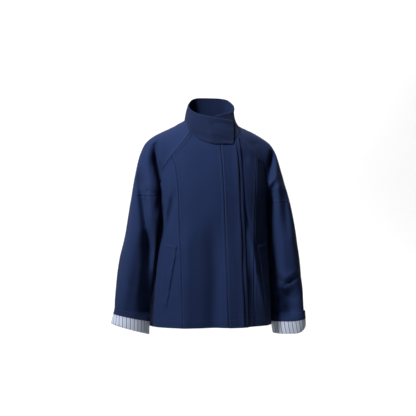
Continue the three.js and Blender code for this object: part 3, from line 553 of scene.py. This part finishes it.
# shade below 1 darkens every colour of the twill; such darker copies of the cloth are painted shade
def makeNavyTwill(name, look, shade=1.0):
    material, tree, shader = newMaterial(name)
    uv = clothMap(tree)
    edge = tree.nodes.new("ShaderNodeAttribute")
    edge.attribute_name = "seamWear"
    seam = edge.outputs["Fac"]
    weave = placeGroup(tree, twillWeave, {"Cloth": uv})
    dye = placeGroup(tree, dyeVariation, {"Place": objectPlace(tree)})
    pucker = placeGroup(tree, seamPucker, {"Cloth": uv, "Seam": seam})
    deep, mid, worn = (tuple(c * shade for c in look[key]) for key in ("deep", "mid", "worn"))
    base = mixColour(tree, dye["Mottle"], deep, mid)
    base = mixColour(tree, times(tree, weave["Thread"], look["threads"]), base, worn)
    base = mixColour(tree, times(tree, seam, plus(tree, dye["Lint"], look["leastWear"])), base, worn)
    rough = plus(tree, times(tree, dye["Mottle"], look["mottledRoughness"]), look["roughness"])
    raised = plus(tree, times(tree, pucker["Height"], look["puckers"]), weave["Height"])
    fillSockets(tree, shader, {
        "Base Color": base,
        "Roughness": rough,
        "Normal": bumpNormal(tree, raised, *look["relief"]),
        "Sheen Weight": look["sheen"],
        "Sheen Roughness": look["sheenRoughness"],
        "Sheen Tint": look["sheenTint"],
        "Specular IOR Level": look["specular"],
    })
    return material


# stripes lie at a share of the pitch, with half their width as a share of it too
liningLook = {
    "ground": (0.46, 0.48, 0.535),
    "blue": (0.10, 0.15, 0.29),
    "grey": (0.30, 0.34, 0.43),
    "pitch": 0.013,
    "blueStripe": (0.25, 0.15),
    "greyStripes": ((0.68, 0.045), (0.82, 0.045)),
    "slub": 0.16,
    "roughness": 0.62,
    "sheen": 0.12,
    "relief": (0.4, 0.00008),
}


# narrow blue stripes with a faint pair of grey ones half way between them
def makeStripedLining(name, look):
    material, tree, shader = newMaterial(name)
    uv = clothMap(tree)
    turn = mathNode(tree, "FRACT", mathNode(tree, "DIVIDE", parted(tree, uv)[0], look["pitch"]))

    def stripe(centre, half):
        away = mathNode(tree, "ABSOLUTE", mathNode(tree, "SUBTRACT", turn, centre))
        node = addNode(tree, "MapRange", {"Value": away, "From Min": half * 1.25, "From Max": half * 0.75})
        node.interpolation_type = "SMOOTHSTEP"
        return node.outputs["Result"]

    base = mixColour(tree, stripe(*look["blueStripe"]), look["ground"], look["blue"])
    faint = mathNode(tree, "MAXIMUM", *(stripe(*place) for place in look["greyStripes"]))
    base = mixColour(tree, faint, base, look["grey"])
    slub = noise(tree, uv, 700, 2)
    base = mixColour(tree, times(tree, slub, look["slub"]), base, look["grey"])
    fillSockets(tree, shader, {
        "Base Color": base,
        "Roughness": look["roughness"],
        "Normal": bumpNormal(tree, slub, *look["relief"]),
        "Sheen Weight": look["sheen"],
    })
    return material


threadLook = {"dark": (0.0022, 0.0045, 0.020), "pale": (0.010, 0.017, 0.055), "roughness": 0.6}


def makeThread(name, look):
    material, tree, shader = newMaterial(name)
    dye = placeGroup(tree, dyeVariation, {"Place": objectPlace(tree)})
    base = mixColour(tree, dye["Lint"], look["dark"], look["pale"])
    fillSockets(tree, shader, {"Base Color": base, "Roughness": look["roughness"]})
    return material


navyTwill = makeNavyTwill("navyTwill", navyLook)
# painted shade: a copy of the twill made darker for the shaded inside of the collar
navyInsidePaintedShade = makeNavyTwill("navyInsidePaintedShade", navyLook, 0.8)
# painted shade: a copy of the twill made darker than the fronts, for the shade that falls on the collar
navyCollarPaintedShade = makeNavyTwill("navyCollarPaintedShade", navyLook, 0.64)
stripedLining = makeStripedLining("stripedLining", liningLook)
navyThread = makeThread("navyThread", threadLook)
print("materials ready")

# making cloth

def linkObject(name, data):
    item = bpy.data.objects.new(name, data)
    bpy.context.scene.collection.objects.link(item)
    return item


def smoothPiece(name, bm, material):
    for face in bm.faces:
        face.smooth = True
    mesh = bpy.data.meshes.new(name)
    bm.to_mesh(mesh)
    bm.free()
    mesh.materials.append(material)
    return linkObject(name, mesh)


# length along a line of points from its first
def lengthAlong(line):
    return np.concatenate([[0], np.cumsum(np.linalg.norm(np.diff(line, axis=0), axis=-1))])


def valueAt(place, along, values):
    return np.stack([np.interp(place, along, values[:, c]) for c in range(3)], axis=-1)


# distance across and along the cloth in metres, measured from its middle column and first row
def clothPlaces(grid):
    across = np.linalg.norm(np.diff(grid, axis=0), axis=-1)
    along = np.linalg.norm(np.diff(grid, axis=1), axis=-1)
    u = np.concatenate([np.zeros((1, grid.shape[1])), np.cumsum(across, axis=0)])
    v = np.concatenate([np.zeros((grid.shape[0], 1)), np.cumsum(along, axis=1)], axis=1)
    middle = grid.shape[0] // 2
    return (u - u[middle]) * mm, v * mm


# one piece of cloth from a grid of points, columns first, with its wall grown inwards
def clothPiece(node, grid, ways, material, thick=None, wear=None,
               joined=False):
    columns, rows = grid.shape[:2]
    u, v = clothPlaces(grid)
    wear = np.zeros((columns, rows)) if wear is None else wear
    bm = bmesh.new()
    bmesh.ops.create_grid(bm, x_segments=columns - 1, y_segments=rows - 1, size=0.5)
    uvLayer = bm.loops.layers.uv.new("cloth")
    wearLayer = bm.verts.layers.float.new("seamWear")
    place = {}
    for vert in bm.verts:
        spot = round((vert.co.x + 0.5) * (columns - 1)), round((vert.co.y + 0.5) * (rows - 1))
        place[vert.index] = spot
        vert.co = Vector(grid[spot] * mm)
        vert[wearLayer] = float(wear[spot])
    for face in bm.faces:
        for loop in face.loops:
            spot = place[loop.vert.index]
            loop[uvLayer].uv = (u[spot], v[spot])
    bm.normal_update()
    turned = sum(vert.normal.dot(Vector(ways[place[vert.index]])) for vert in bm.verts)
    if turned < 0:
        bmesh.ops.reverse_faces(bm, faces=bm.faces)
    if joined:
        bmesh.ops.remove_doubles(bm, verts=bm.verts, dist=0.02 * mm)
    for edge in bm.edges:
        edge.smooth = not edge.is_boundary
    piece = smoothPiece(f"{node}_cloth", bm, material)
    wall = piece.modifiers.new("wall", "SOLIDIFY")
    wall.thickness = (thick or jacket["cloth"]) * mm
    wall.offset = -1
    wall.use_quality_normals = True
    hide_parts(node)
    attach(piece, "root")


# cloth sinks at a seam and swells beside it where the seam allowances lie under it
seamRelief = {
    "sink": 2.6, "groove": 1.5, "swell": 1.0, "allowance": 6.4, "end": 9.0, "stitched": 4.0,
    "pucker": 0.55, "puckerStep": 9.5, "puckerDrift": 31.0, "puckerReach": 5.0, "wearReach": 4.0,
}


# grid moved along its ways by the relief of its sewn edges. sewn names the edges: low, high, first, last
def sewnGrid(grid, ways, sewn, swell=1.0):
    relief = seamRelief
    u, v = (places / mm for places in clothPlaces(grid))
    edges = {"low": u - u[:1], "high": u[-1:] - u, "first": v - v[:, :1], "last": v[:, -1:] - v}
    shift = np.zeros(grid.shape[:2])
    wear = np.zeros(grid.shape[:2])
    for name, strength in sewn.items():
        away = edges[name]
        run = v if name in ("low", "high") else u
        fromStitches = away - relief["stitched"]
        shift -= strength * relief["sink"] * np.exp(-((away / relief["groove"]) ** 2))
        shift += strength * swell * relief["swell"] * (1 - ramp(away, relief["allowance"], relief["end"]))
        wave = np.sin(run / relief["puckerStep"] * math.tau + 1.7 * np.sin(run / relief["puckerDrift"]))
        wave = wave * np.exp(-(fromStitches / relief["puckerReach"]) ** 2)
        shift += strength * relief["pucker"] * wave
        wear = np.maximum(wear, min(strength, 1) * np.exp(-(fromStitches / relief["wearReach"]) ** 2))
    return grid + ways * shift[..., None], wear


# extra rows that roll the last row of a grid inwards, or else the first. Rolled cloth is worn more
def rolledRows(grid, ways, wear, radius, worn, last=True):
    order = slice(None, None, 1 if last else -1)
    grid, ways, wear = grid[:, order], ways[:, order], wear[:, order]
    onward = unit(grid[:, -1] - grid[:, -3])
    out = ways[:, -1]
    rows, rowWays = [grid], [ways]
    for turn in (30, 60, 90, 130):
        a = math.radians(turn)
        row = grid[:, -1] + onward * radius * math.sin(a) - out * radius * (1 - math.cos(a))
        rows.append(row[:, None])
        rowWays.append((out * math.cos(a) + onward * math.sin(a))[:, None])
    wear = np.concatenate([wear] + [wear[:, -1:] + worn] * (len(rows) - 1), axis=1)
    return np.concatenate(rows, axis=1)[:, order], np.concatenate(rowWays, axis=1)[:, order], wear[:, order]


stitch = {"pitch": 3.4, "start": 0.12, "length": 2.4, "radius": 0.36, "lift": 0.05}


# a run of stitches along a line of points lying on the cloth
def sewLine(bm, line, ways):
    along = lengthAlong(line)
    radius = stitch["radius"] * mm
    for n in range(int(along[-1] / stitch["pitch"])):
        start = (n + stitch["start"]) * stitch["pitch"]
        first, last = (valueAt(place, along, line) for place in (start, start + stitch["length"]))
        way = valueAt((n + 0.5) * stitch["pitch"], along, ways)
        forward = Vector(last - first).normalized()
        up = Vector(way).normalized()
        sideways = forward.cross(up).normalized()
        up = sideways.cross(forward)
        turn = Matrix((forward, sideways, up)).transposed().to_4x4()
        size = Matrix.Diagonal((stitch["length"] / 2 * mm, radius, radius, 1))
        spot = Matrix.Translation(Vector(((first + last) / 2 + way * stitch["lift"]) * mm))
        bmesh.ops.create_icosphere(bm, subdivisions=1, radius=1, matrix=spot @ turn @ size)


def threadPiece(name, lines):
    bm = bmesh.new()
    for line, ways in lines:
        sewLine(bm, line, ways)
    piece = smoothPiece(name, bm, navyThread)
    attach(piece, "root")


# line at a set distance inside one edge of a grid
def insideLine(grid, ways, edge, distance, trim):
    if edge in ("low", "high"):
        grid, ways = grid.transpose(1, 0, 2), ways.transpose(1, 0, 2)
    if edge in ("high", "last"):
        grid, ways = grid[:, ::-1], ways[:, ::-1]
    line, lineWays = [], []
    for strip, way in zip(grid, ways):
        along = lengthAlong(strip)
        line.append(valueAt(distance, along, strip))
        lineWays.append(valueAt(distance, along, way))
    line, lineWays = np.array(line), np.array(lineWays)
    if trim:
        along = lengthAlong(line)
        keep = (along > trim) & (along < along[-1] - trim)
        line, lineWays = line[keep], lineWays[keep]
    return line, lineWays


stitchLines = {"body": [], "placket": [], "collar": [], "right": [], "left": [], "cuffs": []}


# keeps the stitch lines of a piece for sewing later. places are edges and distances from them
def markStitches(group, grid, ways, places, trim=0.0):
    for edge, distance in places:
        stitchLines[group].append(insideLine(grid, ways, edge, distance, trim))


# body

neckHeight = {"right": -6.0, "left": -15.0}
napeHeight = {"right": 41.0, "left": 36.0}
princessTop = -85.0
underarmHeight = -195.0
panelWidth = {"right": 150, "left": 120, "side": 80, "back": 420}
seamShare = jacket["seam"] / panelWidth["right"]
overlapFrom = (-60, 20)
freeEdge = {"beyond": 1.5, "reach": 3.0, "top": (-75, -52), "bottom": (-640, -622)}
neckRows = {}


def overlapRise(grid):
    return 2 * jacket["layer"] * ramp(grid[..., 0], *overlapFrom)


# cloth gives way beside the free edge of a strip that lies on it
def besideEdge(edgeX, depth):
    def rise(grid):
        x, z = grid[..., 0], grid[..., 2]
        away = x - edgeX(z) - freeEdge["beyond"]
        low, high = freeEdge["top"]
        ends = ramp(-z, -high, -low) * ramp(z, *freeEdge["bottom"])
        return -depth * np.exp(-((away / freeEdge["reach"]) ** 2)) * ends

    return rise


def spacedHeights(low, high, step=jacket["meshStep"]):
    count = int(math.ceil((high - low) / step))
    return np.linspace(low, high, count + 1)


# grid between two edges, each a bearing and a height for every row
def bodyPanel(inner, outer, across, bend=None, rise=None):
    u = across[:, None]
    facing = np.sign(outer[0] - inner[0]).mean()
    bearing = mix(inner[0], outer[0], u) + mix(seamShare, -seamShare, u) * facing
    z = mix(inner[1], outer[1], u)
    if bend is not None:
        bearing, z = bearing + bend[0], z + bend[1]
    grid = bodyPoint(bearing, z)
    if rise is not None:
        grid = bodyPoint(bearing, z, rise(grid))
    return grid


def frontCentreGrid(side, edgeX):
    sign = sideSign[side]
    low = spacedHeights(jacket["hem"], princessTop)
    v = np.linspace(0, 1, 22)[1:]
    heights = np.concatenate([low, mix(princessTop, neckHeight[side], v)])
    share = np.concatenate([np.zeros(len(low)), v])
    edgeTop = float(neckZ(edgeX(0.0)))
    outerX = np.where(share > 0, frontRaglanX(heights), princessX(heights))
    outer = np.stack([sign * bearingAt(outerX, heights, "front"), heights])
    innerZ = np.where(share > 0, mix(princessTop, edgeTop, share), heights)
    inner = np.stack([frontBearing(edgeX(innerZ), innerZ), innerZ])
    across = shares(panelWidth[side])
    footX = float(edgeX(inner[1, -1]))
    endX = sign * float(frontRaglanX(outer[1, -1])) + float(leanAt(outer[1, -1]))
    topX = mix(footX, endX, across)
    topZ = neckZ(topX)
    bendBearing = frontBearing(topX, topZ) - mix(inner[0, -1], outer[0, -1], across)
    bendZ = topZ - mix(inner[1, -1], outer[1, -1], across)
    bend = (bendBearing[:, None] * share, bendZ[:, None] * share)
    rise = overlapRise if side == "right" else besideEdge(underlayX, 3.0)
    return bodyPanel(inner, outer, across, bend, rise)


def frontSideGrid(side):
    sign = sideSign[side]
    low = spacedHeights(jacket["hem"], underarmHeight)
    z = np.concatenate([low, spacedHeights(underarmHeight, princessTop - 2, 4.0)[1:]])
    inner = np.stack([sign * bearingAt(princessX(z), z, "front"), z])
    outerBearing = np.where(z <= underarmHeight, math.pi / 2, bearingAt(frontRaglanX(z), z, "front"))
    return bodyPanel(inner, np.stack([sign * outerBearing, z]), shares(panelWidth["side"]))


def backGrid():
    z = spacedHeights(jacket["hem"], underarmHeight)
    edges = []
    for side in ("left", "right"):
        sign = sideSign[side]
        high = mix(underarmHeight, napeHeight[side], np.linspace(0, 1, 50)[1:])
        bearing = bearingAt(sign * backRaglanX(high), high, "back") % math.tau
        lowBearing = np.full(len(z), math.pi / 2 if side == "left" else 1.5 * math.pi)
        edges.append(np.stack([np.concatenate([lowBearing, bearing]), np.concatenate([z, high])]))
    return bodyPanel(*edges, shares(panelWidth["back"]))


hem = {"roll": 1.0, "worn": 0.7, "stitches": 26.0}


# sews and hems a panel of the body, and returns its finished grid and ways
def sewPanel(name, plain, hint, sewn):
    ways = waysOut(plain, hint)
    grid, wear = sewnGrid(plain, ways, sewn)
    grid, ways, wear = rolledRows(grid, ways, wear, hem["roll"], hem["worn"], last=False)
    clothPiece(name, grid, ways, navyTwill, wear=wear)
    neckRows[name] = plain[:, -1]
    return grid, ways


for side, edgeX in (("right", placketX), ("left", hiddenX)):
    sewn = {"low": 1, "high": 1} if side == "right" else {"high": 1}
    grid, ways = sewPanel(f"front_centre_{side}", frontCentreGrid(side, edgeX), outOfBody["front"], sewn)
    markStitches("body", grid, ways, [("high", 1.6), ("high", 6.4), ("first", hem["stitches"])])
    if side == "right":
        markStitches("placket", grid, ways, [("low", 1.8)])
for name, plain, face in (("front_side_right", frontSideGrid("right"), "front"),
                          ("front_side_left", frontSideGrid("left"), "front"),
                          ("back", backGrid(), "back")):
    grid, ways = sewPanel(name, plain, outOfBody[face], {"low": 1, "high": 1})
    markStitches("body", grid, ways, [("first", hem["stitches"])])
print("body ready")

# overlap

placket = {
    "belowHem": 2.0, "straightTo": -52.0, "tableTop": -45.0, "tabFoot": -45.5,
    "liftFrom": 0.55, "wave": 0.4, "waveLength": 37.0, "hemStitches": 27.0,
}


# strip of the overlap whose free edge is lifted a little, more in some places than in others
def placketGrid(edgeX, top, out, width, lift, rise=None):
    z = spacedHeights(jacket["hem"] - placket["belowHem"], placket["straightTo"])
    columns = []
    for u in shares(width, step=3):
        end = top(mix(float(placketX(placket["tableTop"])), float(edgeX(placket["tableTop"])), u))
        heights = np.concatenate([z, np.linspace(placket["straightTo"], end, 4)[1:]])
        x = mix(placketX(heights) + jacket["seam"], edgeX(heights), u)
        wavy = 1 + placket["wave"] * np.sin(heights / placket["waveLength"] + out)
        raised = out + lift * ramp(u, placket["liftFrom"], 1) * wavy
        if rise is not None:
            raised = raised + rise(xyz(x, 0, heights))
        columns.append(bodyPoint(frontBearing(x, heights), heights, raised))
    return np.stack(columns)


# the free edge of a strip is its low one
def layStrip(name, plain, places):
    plainWays = waysOut(plain, outOfBody["front"])
    grid, wear = sewnGrid(plain, plainWays, {"low": 0.9, "high": 0.5}, swell=0.8)
    grid, ways, wear = grid[::-1], plainWays[::-1], wear[::-1]
    clothPiece(name, grid, ways, navyTwill, wear=wear)
    markStitches("placket", grid, ways, places, trim=3)
    markStitches("placket", grid, ways, [("first", placket["hemStitches"])])


giving = besideEdge(coverX, 2.2)
underlay = placketGrid(underlayX, lambda x: float(neckZ(x)) - 3, jacket["layer"], 66, 1.4, giving)
layStrip("placket_underlay", underlay, [("low", 2.0), ("low", 7.5)])
cover = placketGrid(coverX, lambda x: placket["tabFoot"], 2 * jacket["layer"], 50, 2.6)
layStrip("placket_cover", cover, [("low", 2.2), ("low", 8.2), ("high", 2.0), ("high", 7.5)])

# inner and outer edge, each with its bottom and top corner
welt = {
    "inner": ((164, -576), (132.5, -378)), "outer": ((184, -557), (168, -369)),
    "width": 34, "length": 185, "raised": 1.8,
    "sewn": {"low": 0.9, "high": 0.6, "first": 1.0, "last": 1.0},
    "stitches": (("low", 1.8), ("first", 2.0), ("last", 2.0), ("last", 8.0), ("high", 2.0)),
}
for side in ("right", "left"):
    u = shares(welt["width"], step=5)[:, None]
    v = shares(welt["length"], step=6)[None, :]
    (lowIn, highIn), (lowOut, highOut) = welt["inner"], welt["outer"]
    x, z = (mix(mix(lowIn[c], highIn[c], v), mix(lowOut[c], highOut[c], v), u) for c in (0, 1))
    raised = jacket["layer"] + welt["raised"] * (1 - u) * np.sin(math.pi * v)
    grid = bodyPoint(sideSign[side] * bearingAt(x, z, "front"), z, raised)
    ways = waysOut(grid, outOfBody["front"])
    grid, wear = sewnGrid(grid, ways, welt["sewn"], swell=0.9)
    clothPiece(f"pocket_welt_{side}", grid, ways, navyTwill, wear=wear)
    markStitches("body", grid, ways, welt["stitches"], trim=2)
print("overlap and pockets ready")

# sleeves

sleeve = {
    "width": {"front": 140.0, "back": 120.0}, "inset": 0.3 / 225, "rowStep": 32, "elbowGap": 0.01,
    "end": {"right": 2.8, "left": 14.0}, "easeRows": (6.0, 12.5, 53), "easeRounds": 90,
    "easeFrom": (0.3, 0.6), "easeTo": (0.93, 1), "elbowSewn": 0.4,
    "stitches": {
        "back": (("low", 1.8), ("low", 6.8)),
        "upper": (("high", 5.2), ("last", 2.0), ("last", 6.5)),
    },
}


def rowPlaces(low, high):
    return low + (high - low) * shares((high - low) * sleeve["rowStep"])


# front or back half of a sleeve, evened out where the raglan seam turns under the arm
def sleeveGrid(side, face, rows):
    t = np.clip(shares(sleeve["width"][face]), sleeve["inset"], 1 - sleeve["inset"])
    grid = sleevePoint(side, rows[None, :], face, t[:, None])
    even = np.linspace(*sleeve["easeRows"])
    before = sleevePoint(side, even[None, :], face, t[:, None], folded=False)
    after = before.copy()
    weight = 0.5 * (ramp(t, *sleeve["easeFrom"]) * (1 - ramp(t, *sleeve["easeTo"])))[:, None, None]
    for _ in range(sleeve["easeRounds"]):
        after[:, 1:-1] += weight * ((after[:, :-2] + after[:, 2:]) / 2 - after[:, 1:-1])
    for column, shift in zip(grid, after - before):
        column += valueAt(rows, even, shift)
    return grid


for side in ("right", "left"):
    split = elbowSeamRow[side]
    upperRows = rowPlaces(0.0, split - sleeve["elbowGap"])
    lowerRows = rowPlaces(split + sleeve["elbowGap"], wristRow - sleeve["end"][side] / wristRowHeight)
    count = len(upperRows)
    cuts = (("upper", slice(0, count), "last"), ("lower", slice(count, None), "first"))
    for face in ("front", "back"):
        hint = np.array([sideSign[side] * 0.6, -1.0 if face == "front" else 1.0, 0.1])
        whole = sleeveGrid(side, face, np.concatenate([upperRows, lowerRows]))
        wholeWays = waysOut(whole, hint)
        neckRows[f"sleeve_{face}_{side}"] = whole[:, 0]
        for part, cut, elbow in cuts:
            ways = wholeWays[:, cut]
            sewn = {"low": 0.9, "high": 1.0, elbow: sleeve["elbowSewn"]}
            grid, wear = sewnGrid(whole[:, cut], ways, sewn)
            clothPiece(f"sleeve_{part}_{face}_{side}", grid, ways, navyTwill, wear=wear)
            for key in (face, part):
                markStitches(side, grid, ways, sleeve["stitches"].get(key, ()))
print("sleeves ready")

# cuffs

cuff = {
    "turnUp": 31.0, "innerShare": 0.6, "cornerLift": {"right": 0.0, "left": 10.0}, "cornerSpread": 0.35,
    "cloth": 1.3, "stitches": (("first", 2.4), ("last", 2.2)),
}
# section of each cuff: distance out from the sleeve and height above its end
cuffFold = [(-0.7, -1.6), (-2.2, -1.5), (-3.4, -0.6), (-4.1, 0.8), (-4.0, 6), (-3.8, 14), (-3.5, 22)]
cuffSections = {
    ("lining", "right"): [
        (4.4, 31), (4.7, 27), (5.1, 21), (5.6, 15), (5.9, 9), (6.2, 4), (6.1, 1.6), (5.2, -0.4), (2.6, -1.4),
        *cuffFold,
    ],
    ("lining", "left"): [
        (5.6, 31), (5.5, 27), (5.4, 21), (5.2, 15), (4.7, 9), (4.1, 4), (3.6, 1.2), (2.6, -0.6), (1.0, -1.4),
        *cuffFold,
    ],
    ("facing", "right"): [
        (1.5, 49.6), (1.9, 49.3), (2.1, 47), (2.5, 43), (2.9, 40), (3.6, 36), (4.2, 33), (4.4, 31.4),
    ],
    ("facing", "left"): [
        (5.2, 49.6), (5.6, 49.3), (5.6, 47), (5.6, 43), (5.6, 40), (5.6, 36), (5.6, 33), (5.6, 31.4),
    ],
}


def cuffGrid(side, path):
    halves = {"front": np.linspace(0, 1, 46)[:-1], "back": np.linspace(1, 0, 40)[:-1]}
    rings = []
    for out, plainUp in path:
        columns = []
        for face, t in halves.items():
            corner = cuff["cornerLift"][side] * (1 - ramp(t, 0, cuff["cornerSpread"]))
            up = plainUp + corner * max(1 - plainUp / cuff["turnUp"], 0)
            k = wristRow - np.maximum(up, 0) / wristRowHeight
            spot = sleevePoint(side, k, face, t)
            down = sleevePoint(side, np.minimum(k + 0.05, wristRow), face, t)
            down -= sleevePoint(side, k - 0.05, face, t)
            ways = unit(np.cross(down, np.gradient(spot, axis=0)))
            ways *= np.sign((ways * (spot - spot.mean(0))).sum(-1).mean())
            reach = out * mix(1, cuff["innerShare"], ramp(t, 0.4, 1)) if out > 0 else out + 0 * t
            columns.append(spot + ways * reach[:, None] + unit(down) * np.maximum(-up, 0)[:, None])
        ring = np.concatenate(columns)
        rings.append(np.concatenate([ring, ring[:1]]))
    grid = np.stack(rings, axis=1)
    for _ in range(3):  # evens out the joints of the front and back halves
        inner = (np.roll(grid[:-1], 1, axis=0) + 2 * grid[:-1] + np.roll(grid[:-1], -1, axis=0)) / 4
        grid = np.concatenate([inner, inner[:1]])
    return grid


cuffCloth = {"lining": (stripedLining, "striped_lining"), "facing": (navyTwill, "navy_twill")}
for (kind, side), path in cuffSections.items():
    grid = cuffGrid(side, path)
    ways = waysOut(grid, grid - grid.mean(axis=(0, 1)))
    material, slot = cuffCloth[kind]
    clothPiece(f"cuff_{kind}_{side}", grid, ways, material, thick=cuff["cloth"],
               joined=True)
    if kind == "facing":
        markStitches("cuffs", grid, ways, cuff["stitches"])
print("cuffs ready")

# collar

collar = {
    "middle": (8.0, -14.0), "footStep": 3.2, "tab": (22.0, 60.0), "cloth": 1.3, "roll": 1.35, "worn": 0.5,
    "rise": 0.6, "start": -26.0, "clear": -4.0, "dropped": 8.0, "drop": 2.0, "sewn": 0.7, "free": 5.4,
    "overFrom": 250.0, "overBulge": 2.2, "underTo": 150.0, "underEase": 70.0, "underBulge": -5.0,
    "sewnEdges": {"first": 0.8, "last": 0.3, "high": 0.4},
    "stitches": (("last", 6.5), ("first", 2.0), ("first", 7.0), ("high", 3.0)),
}


# the line that the collar is sewn to, once round the neck and on along the tab's foot
def neckFeet():
    tabX = np.linspace(*collar["tab"], 14)
    parts = [neckRows[name][::order] for name, order in (
        ("front_centre_left", 1), ("sleeve_front_left", -1), ("sleeve_back_left", 1), ("back", 1),
        ("sleeve_back_right", -1), ("sleeve_front_right", 1), ("front_centre_right", -1))]
    tab = bodyPoint(frontBearing(tabX, placket["tabFoot"]), placket["tabFoot"], 2 * jacket["layer"])
    line = np.concatenate(parts + [tab])
    along = lengthAlong(line)
    keep = np.concatenate([[True], np.diff(along) > 0.05])
    spots = np.linspace(0, along[-1], int(along[-1] / collar["footStep"]))
    feet = valueAt(spots, along[keep], line[keep])
    for _ in range(4):
        feet[1:-1] = (feet[:-2] + 2 * feet[1:-1] + feet[2:]) / 4
    return feet


def collarGrid(heights, inset=0.0):
    feet = neckFeet()
    away = feet[:, :2] - np.array(collar["middle"])
    bearing = np.maximum.accumulate(np.degrees(np.unwrap(np.arctan2(away[:, 0], -away[:, 1]))))
    way = unit(xyz(away[:, 0], away[:, 1], 0 * bearing))
    over = bearing > collar["overFrom"]
    free = np.where(over, ramp(feet[:, 0], collar["start"], collar["clear"]), 0)
    drop = np.where(over, ramp(feet[:, 0], collar["clear"], collar["dropped"]), 0)
    base = feet + way * mix(collar["sewn"], collar["free"], free)[:, None]
    base[:, 2] += mix(collar["rise"], -collar["drop"], drop)
    top = xyz(*(curve(bearing) for curve in collarEdge))
    under = collar["underBulge"] * ramp(collar["underTo"] - bearing, 0, collar["underEase"])
    bulge = np.where(over, collar["overBulge"], under)
    rows = [mix(base, top, t) + way * (bulge * math.sin(math.pi * t) - inset)[:, None] for t in heights]
    return np.stack(rows, axis=1), np.repeat(way[:, None], len(heights), axis=1)


lowRows, highRows = [0, 0.01, 0.025, 0.05, 0.08], [0.95, 0.97, 0.985, 1]
collarHeights = np.concatenate([lowRows, np.linspace(0.11, 0.93, 20), highRows])
grid, outWays = collarGrid(collarHeights)
grid = grid + foldShift(grid, outWays, "collar")
ways = waysOut(grid, outWays)
grid, wear = sewnGrid(grid, ways, collar["sewnEdges"], swell=0.8)
grid, ways, wear = rolledRows(grid, ways, wear, collar["roll"], collar["worn"])
clothPiece("collar", grid, ways, navyCollarPaintedShade, thick=collar["cloth"], wear=wear)
markStitches("collar", grid, ways, collar["stitches"], trim=2)
grid, outWays = collarGrid(np.linspace(0, 0.985, 24), inset=collar["cloth"] + 0.3)
clothPiece("collar_facing", grid, waysOut(grid, outWays), navyInsidePaintedShade, thick=collar["cloth"])
print("collar ready")

for name, lines in stitchLines.items():
    threadPiece(f"stitching_{name}", lines)
print("stitching ready")

# room, lights and camera

room = {"floor": -1.45, "front": -5.0, "depth": 3.4, "curve": 1.2, "half": 6.0, "top": 5.0, "steps": 12}
profile = [(room["front"], room["floor"])]
for n in range(room["steps"] + 1):
    a = math.pi / 2 * n / room["steps"]
    y = room["depth"] - room["curve"] * (1 - math.sin(a))
    profile.append((y, room["floor"] + room["curve"] * (1 - math.cos(a))))
profile.append((room["depth"], room["top"]))
bm = bmesh.new()
bmesh.ops.create_grid(bm, x_segments=1, y_segments=len(profile) - 1, size=0.5)
for vert in bm.verts:
    y, z = profile[round((vert.co.y + 0.5) * (len(profile) - 1))]
    vert.co = Vector((math.copysign(room["half"], vert.co.x), y, z))
bm.normal_update()
if sum(face.normal.z - face.normal.y for face in bm.faces) < 0:
    bmesh.ops.reverse_faces(bm, faces=bm.faces)
# paper that doesn't show from behind
paper, tree, shader = newMaterial("backdropPaper")
behind = tree.nodes.new("ShaderNodeNewGeometry").outputs["Backfacing"]
fillSockets(tree, shader, {
    "Base Color": (0.9, 0.9, 0.9, 1),
    "Roughness": 0.9,
    "Alpha": mathNode(tree, "SUBTRACT", 1.0, behind),
})
smoothPiece("backdrop", bm, paper)


def softLight(name, place, target, size, power, spread=180):
    data = bpy.data.lights.new(name, "AREA")
    data.shape = "RECTANGLE"
    data.size, data.size_y = size
    data.energy = power
    data.spread = math.radians(spread)
    light = linkObject(name, data)
    light.location = place
    light.rotation_euler = (Vector(target) - Vector(place)).to_track_quat("-Z", "Y").to_euler()


softLight("keyLeft", (-2.3, -1.8, 2.1), (0.2, 0, -0.2), (0.8, 0.8), 26, spread=50)
softLight("frontSoft", (-0.9, -4.2, 1.2), (0, 0, -0.3), (1.4, 1.4), 4)
softLight("backdropWash", (0.0, 0.9, 2.4), (0, 3.2, 0.2), (4.5, 1.4), 190)

# a bright ground to the camera alone
world = bpy.data.worlds.new("studio")
world.use_nodes = True
tree = world.node_tree
sight = tree.nodes.new("ShaderNodeLightPath").outputs["Is Camera Ray"]
strength = mathNode(tree, "MAXIMUM", sight, 0.02)
fillSockets(tree, tree.nodes["Background"], {"Color": (1, 1, 1, 1), "Strength": strength})
bpy.context.scene.world = world
bpy.context.scene.view_settings.view_transform = "Standard"

view = {
    "azimuth": -13.0, "elevation": 1.5, "distance": 5.0, "middle": (-0.0023, -0.02, -0.257), "half": 0.686,
}
a, e = math.radians(view["azimuth"]), math.radians(view["elevation"])
back = Vector((math.sin(a) * math.cos(e), -math.cos(a) * math.cos(e), math.sin(e)))
data = bpy.data.cameras.new("camera")
data.sensor_width = 36
data.lens = data.sensor_width / 2 / (view["half"] / view["distance"])
camera = linkObject("camera", data)
camera.location = Vector(view["middle"]) + back * view["distance"]
camera.rotation_euler = back.to_track_quat("Z", "Y").to_euler()
bpy.context.scene.camera = camera


print("room and camera ready")
